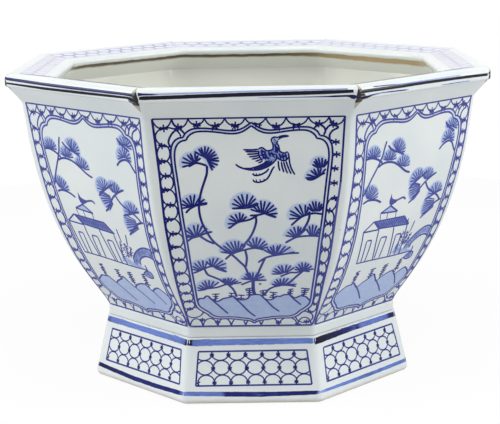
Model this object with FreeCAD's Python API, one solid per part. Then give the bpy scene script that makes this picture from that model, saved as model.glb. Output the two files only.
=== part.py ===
import FreeCAD, Part
import math
import os

from FreeCAD import Vector

# Octagonal porcelain planter, slab built: eight wall slabs, eight rim slabs and eight foot slabs
# are mitred and luted round one floor slab, with a coil pressed into each inside corner.
# Millimetres, +Z up. The origin is the middle of the footprint, and the front side faces -Y.

# Sides, in the order in which the front slab is turned about the upright axis
SIDE_NAMES = ["front", "front_right", "right", "back_right", "back", "back_left", "left", "front_left"]

# Driving dimensions: heights of the four storeys, from the ground up
FOOT_HEIGHT = 54.0
FLOOR_THICKNESS = 9.0
WALL_HEIGHT = 180.5
RIM_HEIGHT = 26.5

# Driving dimensions: widths across flats at the bottom and the top of the walls
WAIST_FLATS = 249.4
SHOULDER_FLATS = 375.2

# How far the foot's top stands out from the waist, and its base from its top
FOOT_STEP = 0.8
FOOT_SPREAD = 12.5

# How far the rim's edge stands out from the shoulder, and the width from that edge to the mouth
RIM_OVERHANG = 12.4
LEDGE_WIDTH = 39.3

# Clay thicknesses
WALL_THICKNESS = 9.0
FOOT_THICKNESS = 12.0

# Curve of a wall: its lean from plumb at each end, and how far it holds that lean
SHOULDER_LEAN = math.radians(5.5)
SHOULDER_HOLD = 124.0
WAIST_LEAN = math.radians(21.5)
WAIST_HOLD = 24.0

# Roundings of the upright corners
WALL_CORNER_RADIUS = 8.0
FOOT_CORNER_RADIUS = 8.0
RIM_CORNER_RADIUS = 2.5
INNER_CORNER_RADIUS = 30.0

# Roundings of the foot's and floor's edges
FOOT_OUTER_EDGE_RADIUS = 4.0
FOOT_INNER_EDGE_RADIUS = 2.0
FOOT_TOP_EDGE_RADIUS = 1.5
FLOOR_EDGE_RADIUS = 1.5

# Section of the rim
RIM_EDGE_HEIGHT = 11.0
RIM_UNDER_RADIUS = 2.0
COVE_RADIUS = 8.0
RIM_TOP_RADIUS = 5.0
CREST_WIDTH = 2.0
LEDGE_SLOPE = math.radians(9.0)
LIP_RADIUS = 3.0

# Hole in the floor
DRAIN_DIAMETER = 24.0
DRAIN_EDGE_RADIUS = 2.0

# Number of sections that a curve is drawn through
WALL_SECTION_COUNT = 13
ARC_SECTION_COUNT = 6

# Overshoot of a cutting body, and how near counts as the same place
CUT_MARGIN = 2.0
SAME_PLACE = 1e-6

# Heights that follow
FLOOR_TOP = FOOT_HEIGHT + FLOOR_THICKNESS
WALL_TOP = FLOOR_TOP + WALL_HEIGHT
HEIGHT = WALL_TOP + RIM_HEIGHT

# Distances that follow, from the upright axis to the middle of a side
FOOT_TOP_APOTHEM = WAIST_FLATS / 2 + FOOT_STEP
FOOT_BASE_APOTHEM = FOOT_TOP_APOTHEM + FOOT_SPREAD
RIM_APOTHEM = SHOULDER_FLATS / 2 + RIM_OVERHANG
MOUTH_APOTHEM = RIM_APOTHEM - LEDGE_WIDTH

SIDE_TURN = 2 * math.pi / len(SIDE_NAMES)
MITRE = SIDE_TURN / 2
UP = Vector(0, 0, 1)


def line(start, end):
    return Part.LineSegment(start, end).toShape()


def arc(start, middle, end):
    return Part.Arc(start, middle, end).toShape()


def outline_point(centre_apothem, radius, angle, height):
    """A point on the rounding between the front side and the next, at an angle from straight ahead."""
    x = centre_apothem * math.tan(MITRE) + radius * math.sin(angle)
    y = -centre_apothem - radius * math.cos(angle)
    return Vector(x, y, height)


def mirrored(point):
    return Vector(-point.x, point.y, point.z)


def slab_section(outer, inner, height, corner_radius):
    """Level cut through the front slab: rounded outside, mitred ends, plain inside."""
    middle = outer - corner_radius
    flat_end = outline_point(middle, corner_radius, 0, height)
    bend = outline_point(middle, corner_radius, MITRE / 2, height)
    corner = outline_point(middle, corner_radius, MITRE, height)
    edges = [
        line(mirrored(flat_end), flat_end),
        arc(flat_end, bend, corner),
    ]
    back = outline_point(inner, 0, 0, height)
    edges.append(line(corner, back))
    if inner > 0:
        edges.append(line(back, mirrored(back)))
    edges.append(line(mirrored(back), mirrored(corner)))
    edges.append(arc(mirrored(corner), mirrored(bend), mirrored(flat_end)))
    return Part.Wire(edges)


def octagon_section(apothem, height, corner_radius):
    """Level cut through the whole vessel, with every corner rounded."""
    middle = apothem - corner_radius
    start = outline_point(middle, corner_radius, 0, height)
    bend = outline_point(middle, corner_radius, MITRE, height)
    edges = []
    for index in range(len(SIDE_NAMES)):
        turn = FreeCAD.Rotation(UP, math.degrees(SIDE_TURN * index))
        next_turn = FreeCAD.Rotation(UP, math.degrees(SIDE_TURN * (index + 1)))
        edges.append(line(turn.multVec(mirrored(start)), turn.multVec(start)))
        edges.append(arc(turn.multVec(start), turn.multVec(bend), next_turn.multVec(mirrored(start))))
    return Part.Wire(edges)


def coil_section(apothem, height, radius):
    """Level cut through the coil in the corner after the front side: two flats and a hollow face."""
    middle = apothem - radius
    start = outline_point(middle, radius, 0, height)
    bend = outline_point(middle, radius, MITRE, height)
    end = outline_point(middle, radius, SIDE_TURN, height)
    corner = outline_point(apothem, 0, 0, height)
    return Part.Wire([line(corner, start), arc(start, bend, end), line(end, corner)])


def lofted(sections, straight=False):
    return Part.makeLoft(sections, True, straight)


def fused(solids):
    return solids[0].multiFuse(solids[1:]).removeSplitter()


def steps(start, end, count):
    return [start + (end - start) * index / (count - 1) for index in range(count)]


# The wall's line
def wall_line():
    """Outer apothem, inner apothem and height of each level of the wall, from the floor up."""
    waist = (WAIST_FLATS / 2, FLOOR_TOP)
    shoulder = (SHOULDER_FLATS / 2, WALL_TOP)
    waist_pull = (
        waist[0] + WAIST_HOLD * math.sin(WAIST_LEAN),
        waist[1] + WAIST_HOLD * math.cos(WAIST_LEAN),
    )
    shoulder_pull = (
        shoulder[0] - SHOULDER_HOLD * math.sin(SHOULDER_LEAN),
        shoulder[1] - SHOULDER_HOLD * math.cos(SHOULDER_LEAN),
    )
    curve = Part.BezierCurve()
    curve.setPoles([Vector(a, 0, z) for a, z in (waist, waist_pull, shoulder_pull, shoulder)])
    levels = []
    for share in steps(0.0, 1.0, WALL_SECTION_COUNT):
        point = curve.value(share)
        lean = curve.tangent(share)[0]
        level_width = WALL_THICKNESS / abs(lean.z)
        levels.append((point.x, point.x - level_width, point.z))
    return levels


WALL_LEVELS = wall_line()
INNER_SHOULDER = WALL_LEVELS[-1][1]


def wall_slab():
    return lofted([slab_section(outer, inner, z, WALL_CORNER_RADIUS) for outer, inner, z in WALL_LEVELS])


def luting_coil():
    return lofted([coil_section(inner, z, INNER_CORNER_RADIUS) for outer, inner, z in WALL_LEVELS])


# The foot
def lies_at(edge, height):
    box = edge.BoundBox
    return abs(box.ZMin - height) < SAME_PLACE and abs(box.ZMax - height) < SAME_PLACE


def foot_slab():
    base = FOOT_BASE_APOTHEM
    top = FOOT_TOP_APOTHEM
    slab = lofted(
        [
            slab_section(base, base - FOOT_THICKNESS, 0, FOOT_CORNER_RADIUS),
            slab_section(top, top - FOOT_THICKNESS, FOOT_HEIGHT, FOOT_CORNER_RADIUS),
        ],
        straight=True,
    )
    roundings = [
        (0, base - FOOT_THICKNESS / 2, base, FOOT_OUTER_EDGE_RADIUS),
        (0, 0, base - FOOT_THICKNESS / 2, FOOT_INNER_EDGE_RADIUS),
        (FOOT_HEIGHT, top - FOOT_THICKNESS / 2, top, FOOT_TOP_EDGE_RADIUS),
    ]
    for height, nearest, furthest, radius in roundings:
        edges = []
        for edge in slab.Edges:
            middle = edge.valueAt((edge.FirstParameter + edge.LastParameter) / 2)
            mitred = abs(abs(middle.x) - abs(middle.y) * math.tan(MITRE)) < SAME_PLACE
            if lies_at(edge, height) and nearest < -middle.y <= furthest + SAME_PLACE and not mitred:
                edges.append(edge)
        slab = slab.makeFillet(radius, edges)
    return slab


# The floor
def floor_slab():
    rim = octagon_section(WAIST_FLATS / 2, FOOT_HEIGHT, FOOT_CORNER_RADIUS)
    slab = Part.Face(rim).extrude(UP * FLOOR_THICKNESS)
    slab = slab.makeFillet(
        FLOOR_EDGE_RADIUS,
        [edge for edge in slab.Edges if lies_at(edge, FOOT_HEIGHT) or lies_at(edge, FLOOR_TOP)],
    )
    drain = Part.makeCylinder(DRAIN_DIAMETER / 2, FLOOR_THICKNESS, Vector(0, 0, FOOT_HEIGHT), UP)
    slab = slab.cut(drain)
    mouth = [
        edge
        for edge in slab.Edges
        if lies_at(edge, FLOOR_TOP) and edge.Curve.TypeId == "Part::GeomCircle"
        and edge.BoundBox.Center.sub(Vector(0, 0, FLOOR_TOP)).Length < SAME_PLACE
    ]
    return slab.makeFillet(DRAIN_EDGE_RADIUS, mouth)


# The rim
def rim_outside():
    """The rim's outer body, from the axis out to the cove, the edge and its rounded top."""
    seat = (SHOULDER_FLATS / 2, WALL_TOP)
    edge = RIM_APOTHEM
    under = HEIGHT - RIM_EDGE_HEIGHT
    cove_end = (edge - RIM_UNDER_RADIUS, under)

    # The cove leaves the wall at the wall's own lean, and a flat bevel runs on from it to the edge.
    middle = (
        seat[0] + COVE_RADIUS * math.cos(SHOULDER_LEAN),
        seat[1] - COVE_RADIUS * math.sin(SHOULDER_LEAN),
    )
    reach = (cove_end[0] - middle[0], cove_end[1] - middle[1])
    bevel_lean = math.atan2(*reach) + math.asin(COVE_RADIUS / math.hypot(*reach))
    cove = []
    for angle in steps(SHOULDER_LEAN, bevel_lean, ARC_SECTION_COUNT):
        apothem = middle[0] - COVE_RADIUS * math.cos(angle)
        height = middle[1] + COVE_RADIUS * math.sin(angle)
        share = (height - seat[1]) / (under - seat[1])
        corner = WALL_CORNER_RADIUS + (RIM_CORNER_RADIUS - WALL_CORNER_RADIUS) * share
        cove.append(slab_section(apothem, 0, height, corner))

    under_round = []
    for angle in steps(0.0, math.pi / 2, ARC_SECTION_COUNT):
        apothem = edge - RIM_UNDER_RADIUS * (1 - math.sin(angle))
        height = under + RIM_UNDER_RADIUS * (1 - math.cos(angle))
        under_round.append(slab_section(apothem, 0, height, RIM_CORNER_RADIUS))

    top_round = []
    for angle in steps(0.0, math.pi / 2, ARC_SECTION_COUNT):
        apothem = edge - RIM_TOP_RADIUS * (1 - math.cos(angle))
        height = HEIGHT - RIM_TOP_RADIUS * (1 - math.sin(angle))
        top_round.append(slab_section(apothem, 0, height, RIM_CORNER_RADIUS))

    bevel = [cove[-1], under_round[0]]
    band = [under_round[-1], top_round[0]]
    return fused(
        [
            lofted(cove),
            lofted(bevel, straight=True),
            lofted(under_round),
            lofted(band, straight=True),
            lofted(top_round),
        ]
    )


def rim_inside():
    """The space inside the rim: above the sloping ledge, through the mouth and under the lip."""
    ledge_top = (RIM_APOTHEM - RIM_TOP_RADIUS - CREST_WIDTH, HEIGHT)
    lip_apothem = MOUTH_APOTHEM + LIP_RADIUS
    ledge_height = ledge_top[1] - (ledge_top[0] - lip_apothem) * math.tan(LEDGE_SLOPE)
    lip = (lip_apothem, ledge_height - LIP_RADIUS / math.cos(LEDGE_SLOPE))

    # The underside runs straight from the wall's inner edge, touching the lip's rounding.
    reach = (INNER_SHOULDER - lip[0], lip[1] - WALL_TOP)
    rise = math.atan2(reach[1], reach[0]) - math.asin(LIP_RADIUS / math.hypot(*reach))
    lip_turn = math.pi - rise

    # The ledge's slope is cut straight on above the level crest.
    above = octagon_section(
        ledge_top[0] + CUT_MARGIN,
        ledge_top[1] + CUT_MARGIN * math.tan(LEDGE_SLOPE),
        RIM_CORNER_RADIUS,
    )
    lip_halves = []
    for start, end in ((LEDGE_SLOPE, math.pi / 2), (math.pi / 2, lip_turn)):
        half = []
        for angle in steps(start, end, ARC_SECTION_COUNT):
            apothem = lip[0] - LIP_RADIUS * math.sin(angle)
            height = lip[1] + LIP_RADIUS * math.cos(angle)
            half.append(octagon_section(apothem, height, INNER_CORNER_RADIUS))
        lip_halves.append(half)
    lip_top, lip_under = lip_halves
    below = octagon_section(
        INNER_SHOULDER + CUT_MARGIN / math.tan(rise),
        WALL_TOP - CUT_MARGIN,
        INNER_CORNER_RADIUS,
    )
    return fused(
        [
            lofted([above, lip_top[0]], straight=True),
            lofted(lip_top),
            lofted(lip_under),
            lofted([lip_under[-1], below], straight=True),
        ]
    )


def rim_slab():
    return rim_outside().cut(rim_inside())


def turned(shape, index):
    copy = shape.copy()
    copy.rotate(Vector(0, 0, 0), UP, math.degrees(SIDE_TURN * index))
    return copy


def main():
    os.makedirs("parts", exist_ok=True)
    floor_slab().exportStep("parts/floor_slab.step")
    rings = {"foot_slab": foot_slab(), "wall_slab": wall_slab(), "rim_slab": rim_slab()}
    coil = luting_coil()
    for index, side in enumerate(SIDE_NAMES):
        for name, slab in rings.items():
            turned(slab, index).exportStep(f"parts/{name}_{side}.step")
        next_side = SIDE_NAMES[(index + 1) % len(SIDE_NAMES)]
        turned(coil, index).exportStep(f"parts/luting_coil_{side}_to_{next_side}.step")


main()
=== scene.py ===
"""Octagonal blue-and-white planter: glaze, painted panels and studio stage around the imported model."""

import math

import bmesh
import bpy
import numpy as np
from bpy.props import FloatProperty, FloatVectorProperty, PointerProperty
from mathutils import Matrix, Vector
from mathutils.bvhtree import BVHTree
from mathutils.geometry import tessellate_polygon


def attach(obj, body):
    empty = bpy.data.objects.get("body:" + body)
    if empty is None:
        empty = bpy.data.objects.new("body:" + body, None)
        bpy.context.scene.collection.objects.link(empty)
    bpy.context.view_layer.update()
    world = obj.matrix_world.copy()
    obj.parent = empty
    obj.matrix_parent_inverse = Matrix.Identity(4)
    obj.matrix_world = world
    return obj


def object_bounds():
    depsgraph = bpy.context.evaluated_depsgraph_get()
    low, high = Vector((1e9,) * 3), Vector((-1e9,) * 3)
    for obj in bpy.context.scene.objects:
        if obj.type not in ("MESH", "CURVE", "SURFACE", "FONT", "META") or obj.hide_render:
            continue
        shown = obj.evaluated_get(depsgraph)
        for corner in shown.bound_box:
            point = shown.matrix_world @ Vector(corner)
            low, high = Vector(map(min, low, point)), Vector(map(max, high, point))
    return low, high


bl_info = {
    "name": "Octagonal planter",
    "version": (1, 0, 0),
    "blender": (4, 5, 0),
    "location": "View3D > Sidebar > Planter",
    "description": "Glazes and paints an octagonal porcelain planter around its packed model",
    "category": "Object",
}

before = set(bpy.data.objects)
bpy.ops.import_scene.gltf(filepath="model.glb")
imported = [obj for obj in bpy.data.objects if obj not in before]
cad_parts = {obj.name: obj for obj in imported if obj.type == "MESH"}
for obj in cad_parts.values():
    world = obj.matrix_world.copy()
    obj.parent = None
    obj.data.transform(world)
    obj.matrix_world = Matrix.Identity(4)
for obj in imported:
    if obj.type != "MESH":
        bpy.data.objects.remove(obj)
CAD_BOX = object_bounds()

MM = 0.001
SIDES = ("front", "front_right", "right", "back_right", "back", "back_left", "left", "front_left")
PINE_SIDES = (0, 2, 4, 6)
PAVILION_SIDES = (1, 3, 5, 7)
EIGHTH_TURN = math.radians(45)
MITRE = math.tan(math.radians(22.5))
# The small unevenness of the painter's hand
HAND = np.random.default_rng(7)

# Heights where each painted zone of the outside starts and ends, in millimetres
WALL_ZONE = (63.05, 251.0)
FOOT_ZONE = (1.0, 53.7)
EDGE_ZONE = (252.5, 269.2)
LEDGE_ZONE = (197.0, 164.0)
# Rays that look for the glaze start this far out, in metres
OUTSIDE = 0.4

# The panel frame's two bowed sides from the top down, as (across, up the wall) in millimetres
PANEL_LEFT = ((-71.6, 195.7), (-67.8, 153), (-65.6, 116), (-62.2, 82.5), (-57.6, 44.3), (-50.6, 1))
PANEL_RIGHT = ((73, 195.8), (70.2, 143.6), (67.2, 118.9), (62.8, 77.4), (58.4, 51.8), (53, 12), (50.2, 0.8))
CARTOUCHE_MIDDLE = (2.7, 97.8)
CARTOUCHE_HALF = (56.0, 94.0)
CARTOUCHE_INSET = 2.5
# Right half of the cartouche outline from its peak to its foot, in runs that meet at cusps
CARTOUCHE_RUNS = (
    ((0, 191.9), (6, 187.8), (11.5, 186), (18.1, 185.9), (28, 187.2), (36.3, 187.9), (43.4, 187.6),
     (47.6, 185.9), (50.2, 183.6), (51.5, 181)),
    ((51.5, 181), (54.8, 180.5), (58, 178.4), (60.2, 174.6), (61.1, 169), (60.8, 161), (59.1, 144.9),
     (57, 123.5), (56.1, 113.9), (53.5, 91.5), (51.3, 67.3), (49.1, 45.2), (47.7, 29.6), (46.1, 23.5),
     (42.2, 19), (38.2, 15.4)),
    ((38.2, 15.4), (35.5, 11.9), (30.1, 9.4), (19.3, 9.2), (9, 7.5), (2.9, 6.1), (0, 3.7)),
)

# Joints of the two link chains, from the top down
LEFT_JOINTS = ((-63.1, 188), (-65, 174.6), (-65.7, 162.4), (-63.1, 150.5), (-64.2, 139.1), (-60.4, 126.3),
               (-62.4, 113.9), (-59.4, 101.1), (-60.2, 88.8), (-55.9, 76.6), (-56.2, 62.8), (-53.7, 51.5),
               (-51.7, 41), (-49.2, 31.4), (-49.4, 22.1), (-44.4, 12.9))
RIGHT_JOINTS = ((64.3, 189.5), (66.3, 175.7), (66.9, 165.9), (65.6, 154.7), (65.2, 142.8), (66, 130.2),
                (61.8, 119.6), (62.6, 108.3), (59.2, 97.5), (59, 84.4), (56.4, 71.5), (56.7, 60.4),
                (54.4, 48.8), (53.8, 37), (51.2, 26.1), (48.3, 16.3), (45.5, 4.6))
# Places along the top line where its scallops meet, and the knots that hang between them
TOP_CUSPS = (-71.6, -57, -44.7, -32.4, -17.2, -1.9, 13.7, 28.8, 45.6, 61.2, 73)
TOP_KNOTS = ((-63.1, 188), (-52.3, 188.7), (-38.2, 190.5), (-24.2, 189.4), (-9.4, 189.5), (7.6, 190.3),
             (21.4, 188.4), (36.5, 189.3), (53.6, 189.9), (64.3, 189.5))
# Feet of the arches along the bottom line, and the knots on it
BOTTOM_FEET = (-50.2, -39.6, -27.4, -16.3, -4.4, 8.3, 22.6, 38.2, 49.6)
BOTTOM_KNOTS = ((-39.9, 8.3), (-27.4, 5.8), (22.6, 4), (38.3, 1.6), (45.5, 4.6))
# Short strokes that close the corners between the chains, the scallops and the cartouche
CORNER_STROKES = (
    ((-52.3, 188), (-56.6, 184.6), (-59.4, 179.6), (-59.7, 176.2), (-57.6, 172.4)),
    ((-51.6, 188), (-49.2, 186), (-47.4, 183.4)),
    ((-57, 195.4), (-55.6, 191.4), (-52.3, 188.7)),
    ((53.6, 189.4), (51.6, 188.4), (49.5, 186.6)),
    ((53.9, 189.6), (57.2, 187.6), (58.4, 184.6), (57, 181.2)),
    ((64.3, 189.5), (60.6, 188), (58.4, 184.6)),
    ((68.4, 186.9), (64, 184.8), (61.6, 181.4), (61.7, 177.6)),
    ((61.9, 177.8), (64.4, 176.4), (66.3, 175.7)),
    ((61.2, 195.1), (62.4, 191.9), (64.3, 189.5), (66.6, 188.2), (68.6, 187.3)),
)

# Needle fans of the pine panel: root across and up, first angle and reach, middle reach, last angle and
# reach, needles
PINE_FANS = (
    (-40.7, 160.8, 42, 6.2, 8.8, 199, 10.4, 8), (-32.1, 163.7, -63, 10.4, 9.8, 142, 10, 13),
    (-43.5, 124.7, 13, 12, 9.8, 188, 8.5, 9), (-3, 123.9, 17, 10.7, 11.5, 185, 10, 9),
    (-7.8, 110.4, 16, 8.2, 8.7, 211, 9.9, 9), (10.6, 117.9, -19, 11.4, 11.1, 158, 10.8, 10),
    (42.1, 114.7, 44, 7.1, 11.3, 191, 11.2, 8), (51.7, 118.8, 39, 7.2, 9.7, 146, 8.4, 7),
    (36.8, 97.2, 43, 10, 8.5, 174, 9.3, 7), (49.1, 97.9, 31, 6.9, 9.4, 127, 8.2, 6),
    (-41.7, 98.7, 15, 12.2, 10.4, 190, 7.5, 9), (-10.8, 82.6, 46, 10.4, 12, 176, 12, 9),
    (5, 86.7, 4, 9.8, 10, 148, 8.7, 8), (20.3, 80, 12, 15.4, 9.7, 153, 10.5, 9),
    (-38, 66.7, 62, 8.6, 9, 180, 7.6, 6), (-29.2, 68.8, -25, 11.5, 10.2, 130, 8.5, 8),
    (-33.8, 45.6, 41, 11, 9.2, 191, 8.8, 8), (-18.3, 50.5, 7, 11.2, 7.1, 139, 7.4, 8),
    (2, 54.9, -1, 11, 8.3, 176, 9.2, 9), (26.7, 61.3, 34, 10, 8.9, 185, 9.1, 8),
    (42.3, 64.3, 10, 8, 8, 171, 6.9, 8), (24.9, 49, 2, 12.2, 7.7, 173, 8.1, 8),
    (55.4, 155.3, 49, 7.6, 8.8, 155, 8, 7), (53, 148.4, 48, 8.2, 7.4, 190, 9.5, 7),
)
PINE_TWIGS = (
    ((-45.3, 157.7), (-42.6, 159.5), (-39.7, 160.7), (-35.7, 160), (-31.4, 158.3)),
    ((-48.8, 119.2), (-45.3, 123), (-38.4, 126.6), (-31.8, 127.7)),
    ((-12.6, 122.5), (-7.2, 122.8), (-2.6, 123), (3.5, 124.2), (7.4, 126.6)),
    ((-15.5, 105.2), (-12.1, 108.4), (-7.7, 111), (0.1, 112.7), (6.8, 116.5)),
    ((0.4, 116.3), (7.1, 116.7), (11.9, 118), (15.7, 116.7), (21.1, 114.5)),
    ((32.3, 107), (37.5, 112.1), (42.5, 115.6), (50.2, 117.5), (56.6, 116.6)),
    ((27.8, 91.2), (32.3, 94.2), (37.5, 96.7), (46.5, 97.5), (54.9, 97)),
    ((-48.4, 94), (-44.8, 97), (-38.9, 98.8), (-33.7, 101.4), (-28.7, 102.5)),
    ((-19.4, 76.2), (-14.8, 80.9), (-9.5, 83.6), (-3, 85.5), (3.8, 86.9), (10.9, 85.2)),
    ((6.3, 72.8), (12.1, 77.2), (17.4, 79.1), (23.2, 80.2), (31.1, 81.3), (38.8, 81.6)),
    ((-45.1, 62.8), (-40.1, 65.3), (-34, 68.5), (-29.4, 69.7), (-24.2, 68), (-18.4, 63.5)),
    ((-41.8, 43.8), (-34.8, 45.9), (-26.8, 47.2), (-19.4, 50.3), (-14.1, 49.7)),
    ((-7.5, 49.6), (-1.5, 52.7), (3.1, 54.2), (13, 54.4)),
    ((23.9, 58), (27.2, 59.8), (32.4, 62.1), (36.4, 62), (41.6, 63.6), (47.5, 62.8)),
    ((17, 50.2), (21.9, 47.8), (25.2, 48.7), (30.5, 48.4), (36.6, 47.1)),
    ((44.2, 146.4), (47.8, 145.8), (51.7, 147.5), (56.1, 150.4), (58.4, 151)),
)
PINE_STEMS = (
    ((-31.4, 158.3), (-31.6, 152.4), (-33.4, 146.4), (-35.8, 139.2), (-37.7, 131.3), (-38.4, 125.7),
     (-38.3, 119.8), (-36.8, 111.8), (-33.6, 103.6), (-28.7, 94.4), (-21.1, 86.6), (-13.4, 80.1),
     (-8.4, 74.3), (-3.9, 68.4), (-1.4, 60.6), (1.5, 54.9)),
    ((4.8, 116), (5.4, 111.1), (3.3, 103), (0.1, 96.3), (-3, 91.8), (-5.9, 88.2)),
    ((46.7, 116), (45.4, 110.4), (42.6, 104.6), (39.4, 99)),
    ((-38.4, 98.6), (-33.2, 94.5), (-27.5, 91.5)),
    ((-3.6, 85.5), (-2.4, 77.4), (-3.3, 68.6)),
    ((11.8, 76.7), (8.2, 67.4), (4.3, 55.9)),
    ((-36, 66.9), (-33.6, 61.2), (-28.5, 58.1), (-23.9, 55.4), (-19.7, 51.5)),
    ((-17.5, 49.8), (-14.2, 45.5), (-12.3, 40.8), (-11.3, 36)),
    ((41.6, 63.2), (37.7, 59), (33.2, 53.7), (29.8, 49.5)),
    ((23.2, 48.1), (18.6, 46.8), (14.5, 43.8), (11.2, 38.1)),
)
PINE_TRUNK = ((2.3, 55.4), (2.2, 48), (2.5, 42.4), (3.5, 38))
PINE_ROCKS = (
    (-43.1, 31.1), (-41.2, 34.6), (-37.9, 34.7), (-35.8, 37.4), (-34.1, 37.4), (-31.9, 33.9), (-27.9, 31.3),
    (-25.9, 31.2), (-21.9, 34.2), (-17.1, 35.5), (-14.4, 36.7), (-11.8, 34.4), (-8.5, 32.4), (-4.5, 32.8),
    (-1.8, 34.7), (-0.4, 37.6), (4.3, 38.5), (6.2, 38.4), (8.6, 37.4), (11.2, 33.5), (14.5, 31.9),
    (17.9, 32.8), (20.6, 36), (23.9, 35.9), (26.6, 37.5), (30.5, 37.9), (32.6, 36.5), (35.3, 33.9),
    (38, 34.9), (40.6, 36.3), (44.7, 34.8), (47.8, 30.1),
)
PINE_SLOPES = (
    ((-34.1, 37.4), (-28.6, 29.4), (-18.6, 15.7)),
    ((-14.4, 37), (-7.9, 27.8), (-1.3, 17.4), (3.8, 11.7)),
    ((7.9, 37.9), (12.6, 31.4), (17.9, 23.2), (23.3, 17.3)),
    ((31.3, 37.7), (35.3, 32), (40.8, 25.3)),
)
# Grass tufts on the rocks: foot across and up, and height
PINE_TUFTS = ((-28.3, 32.1, 7.4), (-15.6, 36.1, 4.1), (-7.9, 32.9, 4.9), (-1.1, 35.7, 9.8), (9.8, 35.5, 7.4),
              (17.9, 33, 7.4), (31.9, 37.2, 6.6), (42.5, 35.4, 9))
CRANE_BODY = (
    ((17.7, 176.6), (17.6, 178), (18.3, 179.6), (19.8, 180.3), (21.5, 180.1), (22.6, 179.4)),
    ((22, 179.7), (25.2, 181), (28.5, 181.3), (31, 180.8)),
    ((22.7, 177.9), (24, 179.2), (26.2, 180.2), (30.8, 180.8)),
    ((20.2, 178.1), (20.9, 178.1)),
    ((17.7, 176.9), (18.5, 175.4), (19, 173.6), (18.7, 171), (16.9, 169.9), (14, 169.7), (12.2, 170.9)),
    ((22.6, 177.5), (21.8, 175.5), (23.1, 173.4), (23.5, 171), (24, 169), (25.6, 168), (27.8, 167.6),
     (29.5, 168.5), (30.5, 167.6)),
    ((20.1, 175), (20.8, 172.6), (21.1, 170.3), (20.5, 167.9)),
    ((21.7, 173), (22.3, 170.2), (21.9, 167.5)),
    ((13.2, 169.6), (12.2, 171.2), (10.7, 172.2), (8.9, 171.8), (7.7, 170.9)),
    ((15.5, 169.2), (15.9, 166.9), (17.3, 164.8)),
    ((17.8, 168.7), (18.5, 166.2), (20.1, 163.9)),
    ((15.2, 167.7), (17.7, 167.1), (20.8, 166.6)),
    ((21.1, 166.9), (21.5, 165.2), (21.2, 163.1), (20.3, 161)),
)
CRANE_WINGS = (
    ((8, 170.9), (2.9, 170.5), (-3.7, 170.7)),
    ((7.9, 169.2), (3, 169), (-2.2, 169.2)),
    ((7.9, 167.6), (3.8, 167.2), (-0.9, 167.1)),
    ((8.3, 166), (4.7, 165.4), (0.6, 165)),
    ((8.8, 164.4), (5.8, 163.7), (2.6, 163.2)),
    ((9.8, 163), (7.6, 162), (5.4, 161.4)),
    ((10.9, 161.7), (9.1, 160.6), (7.5, 159.9)),
    ((8.1, 170.1), (7.9, 167.3), (8.9, 164.4), (10.9, 161.8)),
    ((10.7, 170.7), (10.4, 168.1), (11.4, 165.3), (13.5, 162.8)),
    ((12.9, 169.2), (12.9, 166.8), (14.1, 164.5), (16, 162.9)),
    ((9.5, 168.5), (11.6, 169), (13.5, 168.3)),
    ((9.1, 166), (11.7, 166.6), (14.4, 166.1)),
    ((10.6, 163.6), (12.9, 164.4), (15.4, 164)),
    ((30.5, 167.6), (30.8, 165), (31.2, 161.4), (31.8, 157.7), (33.3, 153.6), (35.4, 150.1)),
    ((28.6, 161.4), (29.8, 157.4), (31, 154.1), (32.5, 150.8)),
    ((26.8, 160.9), (27.8, 156.6), (29.7, 151.2)),
    ((25, 161), (25.7, 156.6), (27, 152.1)),
    ((22.7, 161.6), (23, 157.5), (23.9, 153.3)),
    ((21.5, 164.7), (23.8, 162.6), (26.5, 161.6), (28.9, 162.2), (30.4, 164.1)),
    ((23.3, 167.5), (24.2, 165.3), (24.8, 163.1)),
    ((25.8, 167), (26.5, 164.8), (26.8, 162.2)),
    ((28, 167), (28.8, 164.9), (28.8, 162.7)),
    ((23.5, 165.5), (26, 164.8), (29.1, 165.5)),
)
CRANE_TAIL = (
    ((20.3, 161.5), (16.9, 158.4), (13.9, 156.6), (10, 155.1), (7.2, 154.5), (1, 154.6), (-4.4, 156),
     (-7.7, 157.6), (-9.7, 159.4)),
    ((14.4, 161.8), (12.1, 159.7), (10, 158.6), (6.7, 157.1), (1.3, 155.7), (-3.2, 155.9)),
    ((16.2, 161.9), (13.4, 158.9), (9.7, 156.9), (4, 155.3)),
    ((18, 161.7), (15.1, 158.4), (11.1, 156.1), (6.3, 155)),
)
CRANE_LEGS = (
    ((15.5, 155.5), (14.3, 153.6), (12.7, 152.3), (10.5, 151), (8.2, 150.2), (5.9, 149.9), (4.3, 150.2),
     (2.9, 151.3)),
    ((20, 157.1), (18.4, 155.1), (17.3, 152.7), (16, 149.9), (14.5, 147.5), (12.6, 145.9), (10.2, 144.8),
     (7.6, 144.3), (5.4, 144.6), (4.1, 145.2), (3.2, 146.7)),
    ((4.2, 150.1), (3.9, 151.8)), ((6.2, 150), (5.9, 151.7)), ((8.5, 150.4), (8.3, 151.5)),
    ((6.3, 144.4), (5.8, 146.7)), ((9.2, 144.7), (8.6, 146.8)), ((12.2, 145.8), (11.6, 147.1)),
)
CRANE_SHADE = ((7.8, 171), (10.5, 172.4), (13, 170.6), (17, 170), (18.8, 172), (18.2, 176), (18.2, 179.4),
               (20.6, 180.4), (22.4, 178), (22, 175.4), (23.6, 170), (26, 168), (30.4, 168), (30.6, 163.4),
               (27, 161.6), (22.4, 162.4), (20.4, 160.6), (14, 157), (6, 155), (13, 161), (9, 164))

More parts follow.
